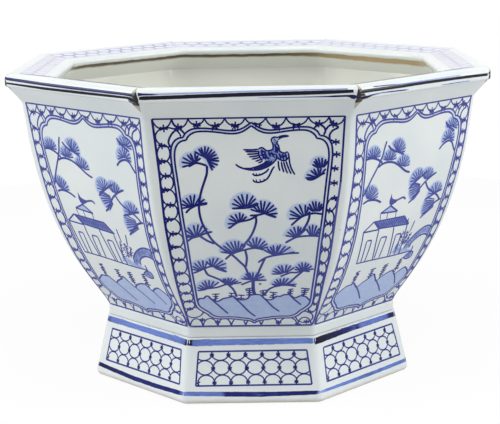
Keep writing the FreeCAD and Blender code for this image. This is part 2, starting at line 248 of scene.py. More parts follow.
# Pavilion panel, drawn the same way
PAVILION_FANS = (
    (-46.7, 159, 5, 8.8, 8.8, 168, 8.8, 9), (-17.1, 160.3, -23, 10, 10, 133, 10, 10),
    (-26, 154, 8, 8.6, 8.6, 166, 8.6, 9), (-7.7, 146.5, 1, 9.2, 9.2, 145, 9.2, 8),
    (-43.7, 124.1, 2, 11.1, 11.1, 133, 11.1, 9), (51.3, 171.8, -14, 7.9, 7.9, 174, 7.9, 9),
    (48.6, 162.1, -18, 8.3, 8.3, 195, 8.3, 10), (15, 131.9, 48, 9.1, 9.1, 208, 9.1, 8),
    (27.9, 130.1, 22, 9.7, 9.7, 145, 9.7, 8), (44.2, 115, 13, 9.6, 9.6, 198, 9.6, 9),
    (21.5, 123.5, 150, 13, 13.2, 240, 12, 9), (46.5, 105.5, 156, 14, 15, 224, 15, 9),
)
PAVILION_TWIGS = (
    ((-55.5, 158.2), (-51.6, 158.8), (-46.6, 158.5), (-40.2, 156.4), (-34.4, 153)),
    ((-29.6, 166.6), (-25.9, 163.4), (-20.8, 160.9), (-15.9, 159.6), (-9, 156.8)),
    ((-38.8, 150), (-33.7, 152.2), (-26.8, 152.7), (-19.2, 151.1), (-12.1, 147.5), (-5.9, 143.5), (-1, 141),
     (3, 139.9)),
    ((-49.8, 120.9), (-43.9, 122.8), (-36.1, 122.2), (-31, 120.5), (-27, 118.5)),
    ((42, 177.4), (45.2, 173.6), (50.3, 170.7), (55.4, 167.9)),
    ((37.6, 154.4), (42.2, 158.3), (48.7, 160.5), (53.3, 159), (56.3, 155), (59.1, 150.6)),
    ((6, 124.8), (12.5, 129.4), (19.7, 133.6), (27.1, 137.3)),
    ((39.9, 134.3), (33.6, 131.8), (27.2, 128.2), (21.7, 123.5), (17.6, 118.5), (13.9, 114.2), (9.9, 111.6)),
    ((31.8, 110.9), (44.1, 114.8), (52.2, 117.3)),
    ((54.6, 108.2), (48.1, 106.3), (42.3, 102.2), (37.4, 97.8), (32.5, 93.6)),
)
PAVILION_STEMS = (
    ((-32.3, 170.4), (-33.9, 165.3), (-35.3, 159.4), (-37, 155.6), (-38.7, 151.6), (-41.9, 146.1),
     (-45.8, 139.1), (-49, 132.3), (-51.6, 127.6)),
    ((27.2, 128.2), (30.3, 123.7), (34.2, 120), (38.9, 117.6), (42.1, 115.2)),
    ((39.1, 117.5), (44.1, 114.8), (48.5, 112), (52.4, 108.1)),
)
RIDGE_BIRD = ((-15.1, 124.2), (-14.2, 121.6), (-12.6, 119.4), (-9.8, 118.3), (-5, 117.6), (-6.8, 115.2),
              (-9.6, 114.2), (-12.8, 112.8), (-15.3, 115.2), (-16.2, 118.3), (-15.6, 121))
RIDGE_BIRD_TAIL = ((-8.2, 116.4), (-3.5, 117.6), (0.6, 118.3), (3, 117.6), (4.7, 115.9))
LANTERN_ROOF = ((-12.8, 113.1), (-23.9, 108.3), (-1.9, 106.4))
MAIN_ROOF = ((-28.8, 101.5), (9.5, 99.8), (18.8, 90.9), (-19.9, 93.9))
GABLE = ((-29.5, 101.8), (-40.2, 93.9), (-20, 93))
PAVILION_LINES = (
    ((-23.9, 107.6), (-22.1, 101.4)), ((-14.7, 107), (-13.8, 101)), ((-3.6, 106.5), (-2.9, 100.6)),
    ((-39.7, 93.5), (-38.3, 86.4), (-34.7, 63.3)), ((-20.2, 92.9), (-18.9, 81.5), (-14.8, 62.2)),
    ((-0.7, 91.9), (2, 79), (5.3, 61.4)), ((17.2, 90), (18.4, 76.4), (20.5, 60.2)),
    ((-29.8, 63.6), (-30.9, 74.4), (-31.7, 83.5), (-30.8, 84.4), (-27.2, 84.2),
     (-25.6, 83), (-24.9, 73.1), (-25, 63.2)),
    ((-13, 63.6), (-13.7, 73.9), (-13.9, 83), (-13.1, 84), (-8.4, 83.8),
     (-6.5, 82.6), (-6.5, 73.2), (-6.6, 63)),
    ((8, 61.9), (6.6, 72.8), (5.8, 82), (6.6, 83), (10.8, 82.9),
     (12.7, 81.6), (13.3, 71.4), (13.8, 61.3)),
)
SHORE = ((-35.6, 63.3), (-17.3, 62.5), (2.3, 61.3), (19.7, 60.5), (38.4, 60.3))
# How far the house stands from its usual place, on the side named
HOUSE_SHIFT = {"front_left": -7.0}
REEDS = (((16.5, 96.5), (16.9, 90.5), (17.6, 84.1)), ((26.4, 92.7), (25.4, 87.4), (24.3, 82.5)),
         ((15.2, 83.6), (13.4, 76), (11.6, 67.6)), ((21.2, 83.8), (20.8, 78), (19.2, 68.8)),
         ((27.6, 81), (24.6, 75.4), (22.6, 69.6)))
REED_PLOT = ((15, 85.4), (28, 80.6), (25.8, 72.4), (11.8, 68))
BRIDGE_OUTER = ((24.5, 64.9), (25.8, 70.2), (30.8, 76.1), (37.8, 81), (44.6, 83.5), (50.8, 83.2),
                (54.6, 80.4))
BRIDGE_INNER = ((32, 64.3), (33.1, 69.1), (37.4, 72.9), (43.4, 75.3), (48.7, 75), (53.4, 72.4))
GROUND = ((11.6, 72.3), (18, 68.4), (24.2, 65.4), (29.9, 64.6), (38.4, 60.3), (20.5, 60.8), (8.3, 63.6))
BOAT = ((30, 54.9), (33.4, 57.6), (36.1, 59.1), (40.6, 58.5), (41.6, 55.6), (40.8, 52.9), (36.5, 51.9),
        (31.7, 53.6))
BOAT_MAST = ((37, 65.4), (37.5, 61.6), (36.6, 58.4))
PAVILION_ROCKS = (
    (-43.6, 31.6), (-40.4, 34.4), (-34.7, 38.9), (-31, 39.4), (-25.5, 40.4), (-22.5, 37.6), (-18.4, 34.2),
    (-13.7, 37.6), (-7, 41), (-2.6, 44.6), (2.2, 39.3), (6.5, 34.6), (10.7, 38.2), (16.6, 41), (23.4, 42.2),
    (26.5, 39.4), (29.6, 36), (33.5, 39), (39.6, 41.6), (43.6, 39.4), (47.4, 35.6), (49.6, 31.4),
)
PAVILION_SLOPES = (
    ((-25.5, 40.4), (-18.4, 34), (-11.2, 26.4), (-3, 16.4)),
    ((-2.6, 44.6), (6.5, 34.6), (13.4, 28), (21.4, 18.6)),
    ((23.4, 42.2), (29.6, 36), (33.8, 30.4), (38.6, 22.4)),
)
PAVILION_TUFTS = ((-27.6, 38.9, 14), (-8, 41, 10), (8.6, 36.8, 15), (27.6, 38.8, 15))

# Foot panels: frame, and the ring columns and rows inside it
FOOT_FRAME = ((-43.8, 43.0), (45.6, 43.2), (49.4, 15.7), (-46.4, 15.5))
FOOT_COLUMNS = (-38.9, -25.4, -11.7, 2.4, 16, 29.2, 42.2)
FOOT_ROWS = ((40.7, 5), (30, 5.85), (18.4, 5.8))
FOOT_RING_HALF = 6.75
FOOT_KNOT_REACH = (1.7, 2.2)
FOOT_KNOT_DROP = 0.5
# Each row of rings starts a little further right than the one above
FOOT_FIRST_DRIFT = -0.6
FOOT_ROW_DRIFT = 0.9

# Ledge pattern: its border lines as apothems, pitch, height and number of its ovals, line widths, corner gap
LEDGE_BORDERS = (187.6, 170.4)
LEDGE_SCALE_PITCH = 14.2
LEDGE_SCALE_TALL = 0.56
LEDGE_SCALES = range(-6, 7)
LEDGE_SCALE_LINE = 1.7
LEDGE_BORDER_LINE = 1.2
LEDGE_CORNER_GAP = 1.5

# Links of the border: place and size of a ring as shares of the strip, whole or rubbed, and their overlap
RING_PLACE = {False: 0.52, True: 0.46}
RING_SHARE = {False: 0.45, True: 0.42}
RING_OVERLAP = 0.7
RUBBED_AWAY = 5
# Knots are smaller on the chains' lower part
KNOT_REACH = 2.9
LOW_KNOT_REACH = 2.4
LOW_KNOTS = 60
TOP_KNOT_REACH = 3.0
BOTTOM_KNOT_REACH = (2.3, 2.4)
# Barbs under the knots of the top line: root and tip from the knot, across and up
BARB = ((0.78, -0.6), (2.6, -3.4))
SCALLOP_TOP = 195.7
SCALLOP_RISE = 2.6
ARCH_FOOT = -0.6
ARCH_TALL = 10.5
BORDER_GROWTH = 1.012
BORDER_INSET = 0.4

# Unevenness of the hand: spread of a knot's turn, a ring's place and a needle's turn in degrees, and ranges
KNOT_TURN = 0.12
RING_DRIFT = 0.2
NEEDLE_TURN = 2.0
NEEDLE_REACH = (0.93, 1.05)
NEEDLE_INK = (0.88, 1.0)
# Share of a fan's reach over which its needles are rooted along the twig
NEEDLE_ROOTS = 0.5
# Grass: lean of a stalk, first leaf's share of its height, gap between leaves, and a leaf's reach and rise
STALK_LEAN = (0.08, 0.06)
FIRST_LEAF = 0.28
LEAF_GAP = 2.5
LEAF_REACH = (2.2, 3.7)
LEAF_RISE = (-0.9, 1.1)

# Line widths as shares of the drawn line, and the crane's in millimetres
SHARE = {
    "link": 0.8, "cartouche": 0.95, "level": 0.9, "foot_ring": 0.72, "foot_frame": 0.9, "pine_needle": 1.08,
    "pine_twig": 1.15, "pine_rock": 1.05, "trunk": 1.5, "needle": 0.8, "twig": 1.2, "stem": 1.15,
    "slope": 0.9, "roof": 0.95, "roof_hatch": 0.62, "house": 0.88, "bird_tail": 1.1, "reed": 0.8,
    "leaf": 0.85, "bridge_hatch": 0.6, "boat": 0.9,
}
CRANE = ((CRANE_BODY, 1.35), (CRANE_WINGS, 1.4), (CRANE_TAIL, 1.5), (CRANE_LEGS, 1.45))
# The frame's right side in runs, each with its ink
FRAME_RIGHT = ((PANEL_RIGHT[:2], 0.9), (PANEL_RIGHT[1:4], -0.2), (PANEL_RIGHT[3:], 0.4))
# Pine panels keep this share of their ink below, and fade between two heights, lower at the left frame
FADED_INK = 0.3
FADE = (92, 120)
LEFT_FRAME = -54
LEFT_FRAME_FADE = (45, 95)
PAVILION_INK = 0.16
FOOT_INK = 0.55
HATCH_INK = 0.6
LEAF_INK = 0.9
PINE_TUFT_INK = 1.7
PAVILION_TUFT_INK = 3.0

# How strong each wash is, its height above the glaze, and the grid it lies on, in millimetres
WASH = {
    "pine_fans": 0.5, "pine_rocks": 0.58, "crane": 0.95, "fans": 0.72, "rocks": 0.6, "lantern": 0.6,
    "roof": 1.0, "bridge": 0.86, "ground": 0.75, "boat": 0.9, "cartouche": 0.3,
}
WASH_LIFT = 0.025
FAN_DRIFT = (-0.9, 0.5)
FAN_FADE = 1.9
FAN_SIDE_FADE = (0.4, 2.6)
WASH_ACROSS = (-61.0, 67.0)
WASH_UP = (3.0, 192.0)
WASH_STEP = 1.25
ROCK_EDGE = 31.5

# Brown specks of the front: across, height and size in millimetres
SPECKS = ((7.8, 106.3, 1.5), (4.6, 68.6, 1.6), (71.0, 154.0, 0.9))

# Apothems and heights, in metres, between which the rim's tones fade
LEDGE_TINT_INNER = (0.1695, 0.171)
LEDGE_TINT_OUTER = (0.1872, 0.1884)
LEDGE_TINT_BOTTOM = (0.263, 0.2635)
LIP_TONE_TOP = (0.2585, 0.2598)
# Brown line under the lip: partly an iron stain, partly painted shade where the overhanging lip shadows the
# inside wall
LIP_STAIN_AND_SHADE_BOTTOM = (0.2548, 0.2572)
LIP_STAIN_AND_SHADE_TOP = (0.2588, 0.2598)
LIP_STAIN_AND_SHADE_THINS = (0.02, 0.12)
LIP_STAIN_AND_SHADE_RISE = 0.002
RIM_RAGGED = 0.002
# The painted shade and reflection at a rim corner's crease: its height, and its reach upright, away from the
# front and towards it
MARK_HEIGHT = 0.2612
MARK_TALL = 0.0105
MARK_AWAY = 0.0075
MARK_TOWARD = 0.0026
MARK_RAGGED = 0.35
MARK_OUTER = (0.186, 0.190)
# Heights of that mark's dark middle, a painted reflection; above and below it the grey cream is painted
# shade
CREASE_REFLECTION_BOTTOM = (0.2562, 0.2578)
CREASE_REFLECTION_TOP = (0.2668, 0.268)
MARK_EDGE = (0.0, 0.12)
# Heights between which the foot's wiped edge ends, how uneven it is and how far it covers the glaze
BARE_EDGE = (0.0012, 0.0045)
BARE_RAGGED = 0.003
BARE_COVER = 0.85
# The same for a speck, for each millimetre of its size
SPECK_EDGE = (0.0005, 0.0012)
SPECK_RAGGED = 0.0008
SPECK_COVER = 0.8

# Scale and detail of each noise
NOISE = {
    "cloud": (11.0, 3.0), "fine": (240.0, 2.0), "gloss": (45.0, 3.0), "ripple": (38.0, 2.0),
    "peel": (420.0, 2.0), "ragged": (60.0, 2.0), "inside": (16.0, 3.0), "line": (130.0, 3.0),
    "mottle": (90.0, 4.0), "grain": (330.0, 2.0), "streak": (120.0, 3.0), "band_edge": (260.0, 3.0),
    "worn": (34.0, 3.0), "floor": (30.0, 2.0),
}
# The fired surface: its gloss on each kind of paint, spread of its roughness, and its bump
GLAZE_IOR = 1.48
GLOSS = {"glaze": 0.4, "line": 0.12, "band": 0.2}
ROUGHNESS_DROP = 0.03
ROUGHNESS_SPREAD = 0.07
RIPPLE_SHARE = 0.8
PEEL_SHARE = 0.05
BUMP_STRENGTH = 0.16
BUMP_DISTANCE = 0.0012
CLOUD_FADE = (0.35, 0.7)
CLOUD_SHARE = 0.75
FINE_SHARE = 0.25
INSIDE_SHADE = 0.94
INWARD_FADE = (0.0, 0.01)
# How the cobalt varies: patches of the lines, mottling and depth of the washes, streaks and edges of bands
LINE_PATCHES = 0.3
WASH_MOTTLING = 1.1
PALE_WASH = (0.0, 0.7)
STRONG_WASH = (0.62, 1.05)
BAND_STREAKS = 0.3
BAND_RAGGED = 0.6
BAND_EDGE = (0.04, 0.3)
BAND_STRETCH = (1.0, 1.0, 9.0)
BAND_RIM = (0.35, 1.0)
BAND_RIM_INK = 0.16
BAND_STOPS = (0.0, 0.35, 0.68, 1.0)
BROAD_HAND = 1.0
THIN_HAND = 0.45
LEDGE_WORN = (0.3, 0.72)
LEDGE_WEAR = 0.5

# Arms of a knot, swelling of a needle from root to tip, and the steps of rings and needles
KNOT_ARMS = ((0, 1), (1, 0.4), (1, -0.4))
NEEDLE_SWELL = ((0, 0.6), (0.35, 0.82), (0.85, 1.0), (1, 0.76))
NEEDLE_STEPS = 5
BORDER_RING_STEPS = 26
RING_STEPS = 24
# Radius of a triangle whose side is one long
TRIANGLE_RADIUS = 0.57735

# Hatching of the roof and the bridge, and the leaves among the reeds
ROOF_HATCHES = np.linspace(0.05, 0.95, 14)
BRIDGE_HATCHES = np.linspace(0.1, 0.95, 14)
BRIDGE_HATCH_SPAN = (0.2, 0.75)
REED_ROWS = np.linspace(0.06, 0.94, 8)
REED_SHARES = np.linspace(0.08, 0.92, 4)
REED_DRIFT = 0.5
REED_LEAF_HALF = 1.2
REED_LEAF_TILT = (0.5, 1.1)
# Extra height of stems and of figures, so that they lie over the needles
STEM_LIFT = 0.01
FIGURE_LIFT = 0.005


def paint(red, green, blue):
    """A colour as a screen shows it, in 0 to 255, turned to the linear values that shaders use."""
    shown = [channel / 255 for channel in (red, green, blue)]
    linear = [c / 12.92 if c <= 0.04045 else ((c + 0.055) / 1.055) ** 2.4 for c in shown]
    return (*linear, 1.0)


def colour(label, about, default):
    return FloatVectorProperty(name=label, description=about, subtype="COLOR", size=4, min=0, max=1,
                               default=default)


def number(label, about, default, **more):
    return FloatProperty(name=label, description=about, default=default, **more)


def length(label, about, millimetres):
    return number(label, about, millimetres * MM, min=0, unit="LENGTH")


class PlanterGlaze(bpy.types.PropertyGroup):
    """Glaze colours and surface"""

    white: colour("White glaze", "Clear glaze over white porcelain", paint(229, 234, 233))
    shade: colour("Pooled glaze", "Where the glaze lies thicker", paint(217, 225, 226))
    inside: colour("Inside glaze", "Greyer glaze on the inside", paint(232, 233, 226))
    # Iron brown of the specks; under the lip this brown and the thin one below it are partly painted shade
    # of the overhanging lip
    iron_and_shade: colour("Iron line", "Brown line under the lip and in specks", paint(88, 68, 34))
    tan: colour("Thin iron", "The same line where it is thin", paint(188, 160, 114))
    # The mark at each rim corner is painted light: a dark painted reflection in the corner's crease, with
    # painted grey-cream shade above and below it
    crease_reflection: colour("Scorched corner", "Dark middle of the mark at each rim corner", paint(18, 15, 26))
    bare: colour("Bare corner", "Grey cream of that mark above and below", paint(178, 173, 156))
    ledge: colour("Ledge tint", "Faint violet under the ledge pattern", paint(224, 226, 239))
    bisque: colour("Bare edge", "Cream body where the foot is wiped clean", paint(226, 219, 203))
    roughness: number("Roughness", "Roughness of the fired glaze", 0.09, min=0, max=1, subtype="FACTOR")


class PlanterInk(bpy.types.PropertyGroup):
    """Cobalt painting"""

    deep: colour("Deep cobalt", "Lines where the cobalt is strongest", paint(24, 32, 112))
    soft: colour("Soft cobalt", "Lines where the cobalt is thin", paint(82, 90, 164))
    wash: colour("Wash", "Pale wash inside needles and rocks", paint(170, 189, 228))
    strong_wash: colour("Strong wash", "Wash on roofs and the bridge", paint(94, 112, 182))
    band: colour("Brush band", "Broad brush bands", paint(110, 136, 210))
    thin: colour("Thin band", "Where a brush band is nearly dry", paint(178, 190, 230))
    black: colour("Heavy band", "Where a brush band is nearly black", paint(10, 8, 36))
    violet: colour("Ledge violet", "Faint pattern on the ledge", paint(168, 172, 220))
    line: length("Line", "Width of a drawn line", 1.6)
    heavy_line: length("Heavy line", "Width of stems and the frame's left side", 1.9)
    lift: length("Lift", "How far the cobalt stands above the body", 0.06)


class PlanterStage(bpy.types.PropertyGroup):
    """Camera, floor and light"""

    lens: number("Lens", "Focal length in millimetres", 96.35, min=1)
    distance: number("Distance", "Camera distance in front of the axis", 1.1819, unit="LENGTH")
    height: number("Height", "Camera height", 0.3905, unit="LENGTH")
    offset: number("Offset", "Camera offset to the right", 0.00475, unit="LENGTH")
    pitch: number("Pitch", "Downward tilt of the camera", math.radians(12.32), subtype="ANGLE")
    heading: number("Heading", "Turn of the camera to the left", math.radians(0.23), subtype="ANGLE")
    roll: number("Roll", "Roll of the camera", math.radians(-0.89), subtype="ANGLE")
    ambient: number("Ambient", "Level of the surrounding light", 0.39, min=0)
    overhead: number("Overhead box", "Overhead lamp", 7, min=0, unit="POWER")
    side_box: number("Side boxes", "Lamp on each side", 15, min=0, unit="POWER")
    front_box: number("Front box", "Lamp above the front", 9, min=0, unit="POWER")
    floor: number("Floor", "Radius of the floor", 0.9, unit="LENGTH")
    floor_low: colour("Floor", "Tone of the floor", paint(240, 240, 240))
    floor_high: colour("Floor, lighter", "Lighter spots of the floor", paint(246, 246, 246))
    floor_bounce: colour("Floor bounce", "Tone of the light that the floor returns", paint(214, 214, 215))


class Wire:
    """A shader socket: operators on it add Math nodes, and make() adds any other node."""

    def __init__(self, tree, socket=None):
        self.tree = tree
        self.socket = socket

    def make(self, kind, settings=None, inputs=None, output=0):
        node = self.tree.nodes.new(kind)
        for name, value in (settings or {}).items():
            if name == "stops":
                ramp = node.color_ramp.elements
                ramp[0].color, ramp[1].color = value[0][1], value[-1][1]
                for place, shade in value[1:-1]:
                    ramp.new(place).color = shade
            else:
                setattr(node, name, value)
        for key, value in (inputs or {}).items():
            if isinstance(value, Wire):
                self.tree.links.new(value.socket, node.inputs[key])
            else:
                node.inputs[key].default_value = value
        return Wire(self.tree, node.outputs[output])

    def sums(self, operation, first, second):
        return self.make("ShaderNodeMath", {"operation": operation}, {0: first, 1: second})

    def __add__(self, other):
        return self.sums("ADD", self, other)

    def __radd__(self, other):
        return self.sums("ADD", other, self)

    def __sub__(self, other):
        return self.sums("SUBTRACT", self, other)

    def __rsub__(self, other):
        return self.sums("SUBTRACT", other, self)

    def __mul__(self, other):
        return self.sums("MULTIPLY", self, other)

    def __rmul__(self, other):
        return self.sums("MULTIPLY", other, self)

    def part(self, key):
        """Another output of the same node."""
        return Wire(self.tree, self.socket.node.outputs[key])

    def vectors(self, operation, first, second, output=0):
        return self.make("ShaderNodeVectorMath", {"operation": operation}, {0: first, 1: second}, output)

    def drawn(self, name):
        """A value that the drawing wrote on each point."""
        return self.make("ShaderNodeAttribute", {"attribute_name": name}, output=2)

    def step(self, low, high):
        """Rises smoothly from 0 to 1 between low and high."""
        return self.make("ShaderNodeMapRange", {"interpolation_type": "SMOOTHSTEP"},
                         {"Value": self, "From Min": low, "From Max": high})

    def between(self, bottom, top):
        """1 between two fades, and 0 below and above them."""
        return self.step(*bottom) * (1.0 - self.step(*top))

    def blend(self, first, second):
        """Mixes two colours by this socket."""
        first, second = (tone if isinstance(tone, Wire) else tuple(tone) for tone in (first, second))
        return self.make("ShaderNodeMix", {"data_type": "RGBA"}, {0: self, 6: first, 7: second}, 2)


def start_material(name):
    """An empty material with its Principled shader, a wire to build with, and its coordinates."""
    material = bpy.data.materials.new(name)
    material.use_nodes = True
    wire = Wire(material.node_tree)
    shader = next(node for node in wire.tree.nodes if node.type == "BSDF_PRINCIPLED")
    return material, wire, shader, wire.make("ShaderNodeTexCoord", output=3)


def plug(wire, shader, socket):
    wire.tree.links.new(wire.socket, shader.inputs[socket])


def noise(wire, place, kind):
    scale, detail = NOISE[kind]
    return wire.make("ShaderNodeTexNoise", {}, {"Vector": place, "Scale": scale, "Detail": detail})


def glaze_tone(wire, place, glaze):
    """Uneven white of the glaze, shared by every piece so that edges of washes vanish in it."""
    cloud = noise(wire, place, "cloud").step(*CLOUD_FADE)
    fine = noise(wire, place, "fine")
    return (cloud * CLOUD_SHARE + fine * FINE_SHARE).blend(glaze.white, glaze.shade)


def finish_glaze(wire, shader, place, glaze, kind="glaze"):
    """Gloss, patchy roughness and faint waviness of the fired surface."""
    shader.inputs["IOR"].default_value = GLAZE_IOR
    shader.inputs["Specular IOR Level"].default_value = GLOSS[kind]
    patchy = noise(wire, place, "gloss")
    plug(patchy * ROUGHNESS_SPREAD + (glaze.roughness - ROUGHNESS_DROP), shader, "Roughness")
    ripple = noise(wire, place, "ripple") * RIPPLE_SHARE + noise(wire, place, "peel") * PEEL_SHARE
    bump = wire.make("ShaderNodeBump", {}, {"Strength": BUMP_STRENGTH, "Distance": BUMP_DISTANCE,
                                            "Height": ripple})
    plug(bump, shader, "Normal")


def rim_places(wire, texture, x, y):
    """A point's apothem, and how far it is past the nearest mitre, away from the front."""
    level = wire.vectors("MULTIPLY", texture, (1, 1, 0))
    radius = wire.make("ShaderNodeVectorMath", {"operation": "LENGTH"}, {0: level}, 1)
    half_side = EIGHTH_TURN / 2
    angle = wire.sums("ARCTAN2", y, x) - half_side
    turn = wire.make("ShaderNodeMath", {"operation": "WRAP"}, {0: angle, 1: half_side, 2: -half_side})
    from_middle = half_side - wire.sums("ABSOLUTE", turn, 0.0)
    apothem = radius * wire.sums("COSINE", from_middle, 0.0)
    return apothem, turn * radius * wire.sums("SIGN", x, 0.0)


def rim_tone(wire, texture, split, glaze, tone, inner, inward, ragged):
    """Tone of the rim: tinted ledge, a brown line under the lip that is part iron stain and part painted
    shade, and painted reflection and shade at each corner's crease.
    """
    x, y, height = (split.part(k) for k in range(3))
    apothem, beside = rim_places(wire, texture, x, y)
    ledge = apothem.between(LEDGE_TINT_INNER, LEDGE_TINT_OUTER) * height.step(*LEDGE_TINT_BOTTOM)
    tone = ledge.blend(tone, glaze.ledge)
    worn = height + ragged * RIM_RAGGED
    tone = (inward * (1.0 - worn.step(*LIP_TONE_TOP))).blend(tone, inner)
    thin = x.step(*LIP_STAIN_AND_SHADE_THINS)
    # Brown line under the lip: partly iron stain, partly painted shade of the overhang
    lip_stain_and_shade = (worn + thin * LIP_STAIN_AND_SHADE_RISE).step(*LIP_STAIN_AND_SHADE_BOTTOM) * (1.0 - worn.step(*LIP_STAIN_AND_SHADE_TOP))
    tone = (inward * lip_stain_and_shade).blend(tone, thin.blend(glaze.iron_and_shade, glaze.tan))
    # Painted reflection and shade at each corner's crease: dark in its middle, grey cream above and below
    away = wire.sums("MAXIMUM", beside, 0.0)
    toward = wire.sums("MAXIMUM", 0.0 - beside, 0.0)
    spread = 1.0 - wire.sums("ABSOLUTE", height - MARK_HEIGHT, 0.0) * (1 / MARK_TALL)
    within = spread - away * (1 / MARK_AWAY) - toward * (1 / MARK_TOWARD) + ragged * MARK_RAGGED
    mark = within.step(*MARK_EDGE) * apothem.step(*MARK_OUTER)
    reflection_middle = worn.between(CREASE_REFLECTION_BOTTOM, CREASE_REFLECTION_TOP)
    return mark.blend(tone, reflection_middle.blend(glaze.bare, glaze.crease_reflection))


def glaze_material(name, glaze, zone):
    """White glaze of one kind of slab, greyer inside, with its brown line under the lip (part iron stain,
    part painted shade), bare edge or specks.
    """
    material, wire, shader, texture = start_material(name)
    split = texture.make("ShaderNodeSeparateXYZ", {}, {0: texture})
    tone = glaze_tone(wire, texture, glaze)
    ragged = noise(wire, texture, "ragged") - 0.5
    if zone in ("wall", "rim"):
        radial = wire.vectors("MULTIPLY", texture, (1, 1, 0))
        facing = wire.make("ShaderNodeNewGeometry", output=1)
        inward = (0.0 - wire.vectors("DOT_PRODUCT", radial, facing, 1)).step(*INWARD_FADE)
    if zone in ("wall", "inside", "rim"):
        darker = (*(channel * INSIDE_SHADE for channel in glaze.inside[:3]), 1)
        inner = noise(wire, texture, "inside").blend(glaze.inside, darker)
    if zone == "wall":
        tone = inward.blend(tone, inner)
        for x, z, size in SPECKS:
            apothem = float(WALL.at(WALL.along_at(1, z))[0])
            spot = wire.vectors("DISTANCE", texture, (x * MM, -apothem, z * MM), 1)
            near = 1.0 - (spot + ragged * SPECK_RAGGED).step(*(size * edge for edge in SPECK_EDGE))
            tone = (near * SPECK_COVER).blend(tone, glaze.iron_and_shade)
    elif zone == "inside":
        tone = inner
    elif zone == "rim":
        tone = rim_tone(wire, texture, split, glaze, tone, inner, inward, ragged)
    elif zone == "foot":
        bare = 1.0 - (split.part(2) + ragged * BARE_RAGGED).step(*BARE_EDGE)
        tone = (bare * BARE_COVER).blend(tone, glaze.bisque)
    plug(tone, shader, "Base Color")
    finish_glaze(wire, shader, texture, glaze)
    return material


def line_material(name, glaze, ink):
    """Cobalt lines under the glaze, darker where the drawing's ink value is high."""
    material, wire, shader, texture = start_material(name)
    patchy = noise(wire, texture, "line") - 0.5
    plug((wire.drawn("ink") + patchy * LINE_PATCHES).blend(ink.soft, ink.deep), shader, "Base Color")
    finish_glaze(wire, shader, texture, glaze, "line")
    return material


def wash_material(name, glaze, ink):
    """Thin washes that fade into the glaze."""
    material, wire, shader, texture = start_material(name)
    amount = wire.drawn("wash")
    mottled = noise(wire, texture, "mottle") * 0.5 + noise(wire, texture, "grain") * 0.5 - 0.5
    amount = amount + amount * mottled * WASH_MOTTLING
    pale = amount.step(*PALE_WASH).blend(glaze_tone(wire, texture, glaze), ink.wash)
    plug(amount.step(*STRONG_WASH).blend(pale, ink.strong_wash), shader, "Base Color")
    finish_glaze(wire, shader, texture, glaze)
    return material


def band_material(name, glaze, ink, hand):
    """Broad hand-painted bands: pale and streaky to nearly black, with edges as ragged as the hand was."""
    material, wire, shader, texture = start_material(name)
    edge = wire.drawn("edge")
    streaked = wire.make("ShaderNodeMapping", {}, {"Vector": texture, "Scale": BAND_STRETCH})
    streak = noise(wire, streaked, "streak") - 0.5
    ragged = noise(wire, texture, "band_edge") - 0.5
    thick = (1.0 - edge).step(*BAND_RIM) * BAND_RIM_INK
    stops = tuple(zip(BAND_STOPS, (ink.thin, ink.band, ink.deep, ink.black)))
    depth = wire.drawn("ink") + streak * (BAND_STREAKS * hand) + thick
    ramp = wire.make("ShaderNodeValToRGB", {"stops": stops}, {0: depth})
    cover = (edge + (ragged * BAND_RAGGED + streak * BAND_STREAKS) * hand).step(*BAND_EDGE)
    plug(cover.blend(glaze_tone(wire, texture, glaze), ramp), shader, "Base Color")
    finish_glaze(wire, shader, texture, glaze, "band")
    return material


def faint_material(name, glaze, ink):
    """The ledge's worn, faint violet pattern."""
    material, wire, shader, texture = start_material(name)
    worn = noise(wire, texture, "worn").step(*LEDGE_WORN)
    depth = wire.drawn("ink") * (1.0 - worn * LEDGE_WEAR)
    plug(depth.blend(glaze.ledge, ink.violet), shader, "Base Color")
    finish_glaze(wire, shader, texture, glaze)
    return material


def build_skin():
    """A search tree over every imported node, used to settle the painting on the glaze."""
    corners = []
    faces = []
    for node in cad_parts.values():
        start = len(corners)
        corners.extend(vertex.co[:] for vertex in node.data.vertices)
        faces.extend([start + i for i in polygon.vertices] for polygon in node.data.polygons)
    return BVHTree.FromPolygons(corners, faces)


SKIN = build_skin()


class Sheet:
    """A strip of one side's outer surface, unrolled: across it in millimetres, and along its profile."""

    REACH = 0.012

    def __init__(self, profile):
        self.profile = np.array(profile)
        steps = np.hypot(*np.diff(self.profile, axis=0).T)
        self.along = np.concatenate([[0.0], np.cumsum(steps)]) / MM
        slope = np.gradient(self.profile, axis=0)
        slope /= np.linalg.norm(slope, axis=1)[:, None]
        self.outward = np.stack([slope[:, 1], -slope[:, 0]], 1)

    def at(self, along):
        """Apothem, height and the outward direction at each distance along the profile."""
        return [np.interp(along, self.along, column) for column in (*self.profile.T, *self.outward.T)]

    def along_at(self, column, value):
        """Distance along the profile where its apothem (0) or height (1) has this value in millimetres."""
        order = np.argsort(self.profile[:, column])
        return float(np.interp(value * MM, self.profile[order, column], self.along[order]))

    def settle(self, flat, side):
        """Puts flat points (across, along, lift), in millimetres, on one side of the pot, in metres."""
        flat = np.asarray(flat, float)
        apothem, height, out_a, out_z = self.at(flat[:, 1])
        foot = np.stack([flat[:, 0] * MM, -apothem, height], 1)
        out = np.stack([np.zeros(len(flat)), -out_a, out_z], 1)
        turn = np.array(Matrix.Rotation(side * EIGHTH_TURN, 3, "Z"))
        foot = foot @ turn.T
        out = out @ turn.T
        for i, (start, way) in enumerate(zip(foot + out * self.REACH, out)):
            hit = SKIN.ray_cast(Vector(start), Vector(-way), 2 * self.REACH)[0]
            if hit is not None:
                foot[i] = hit
        return foot + out * (flat[:, 2] * MM)[:, None]


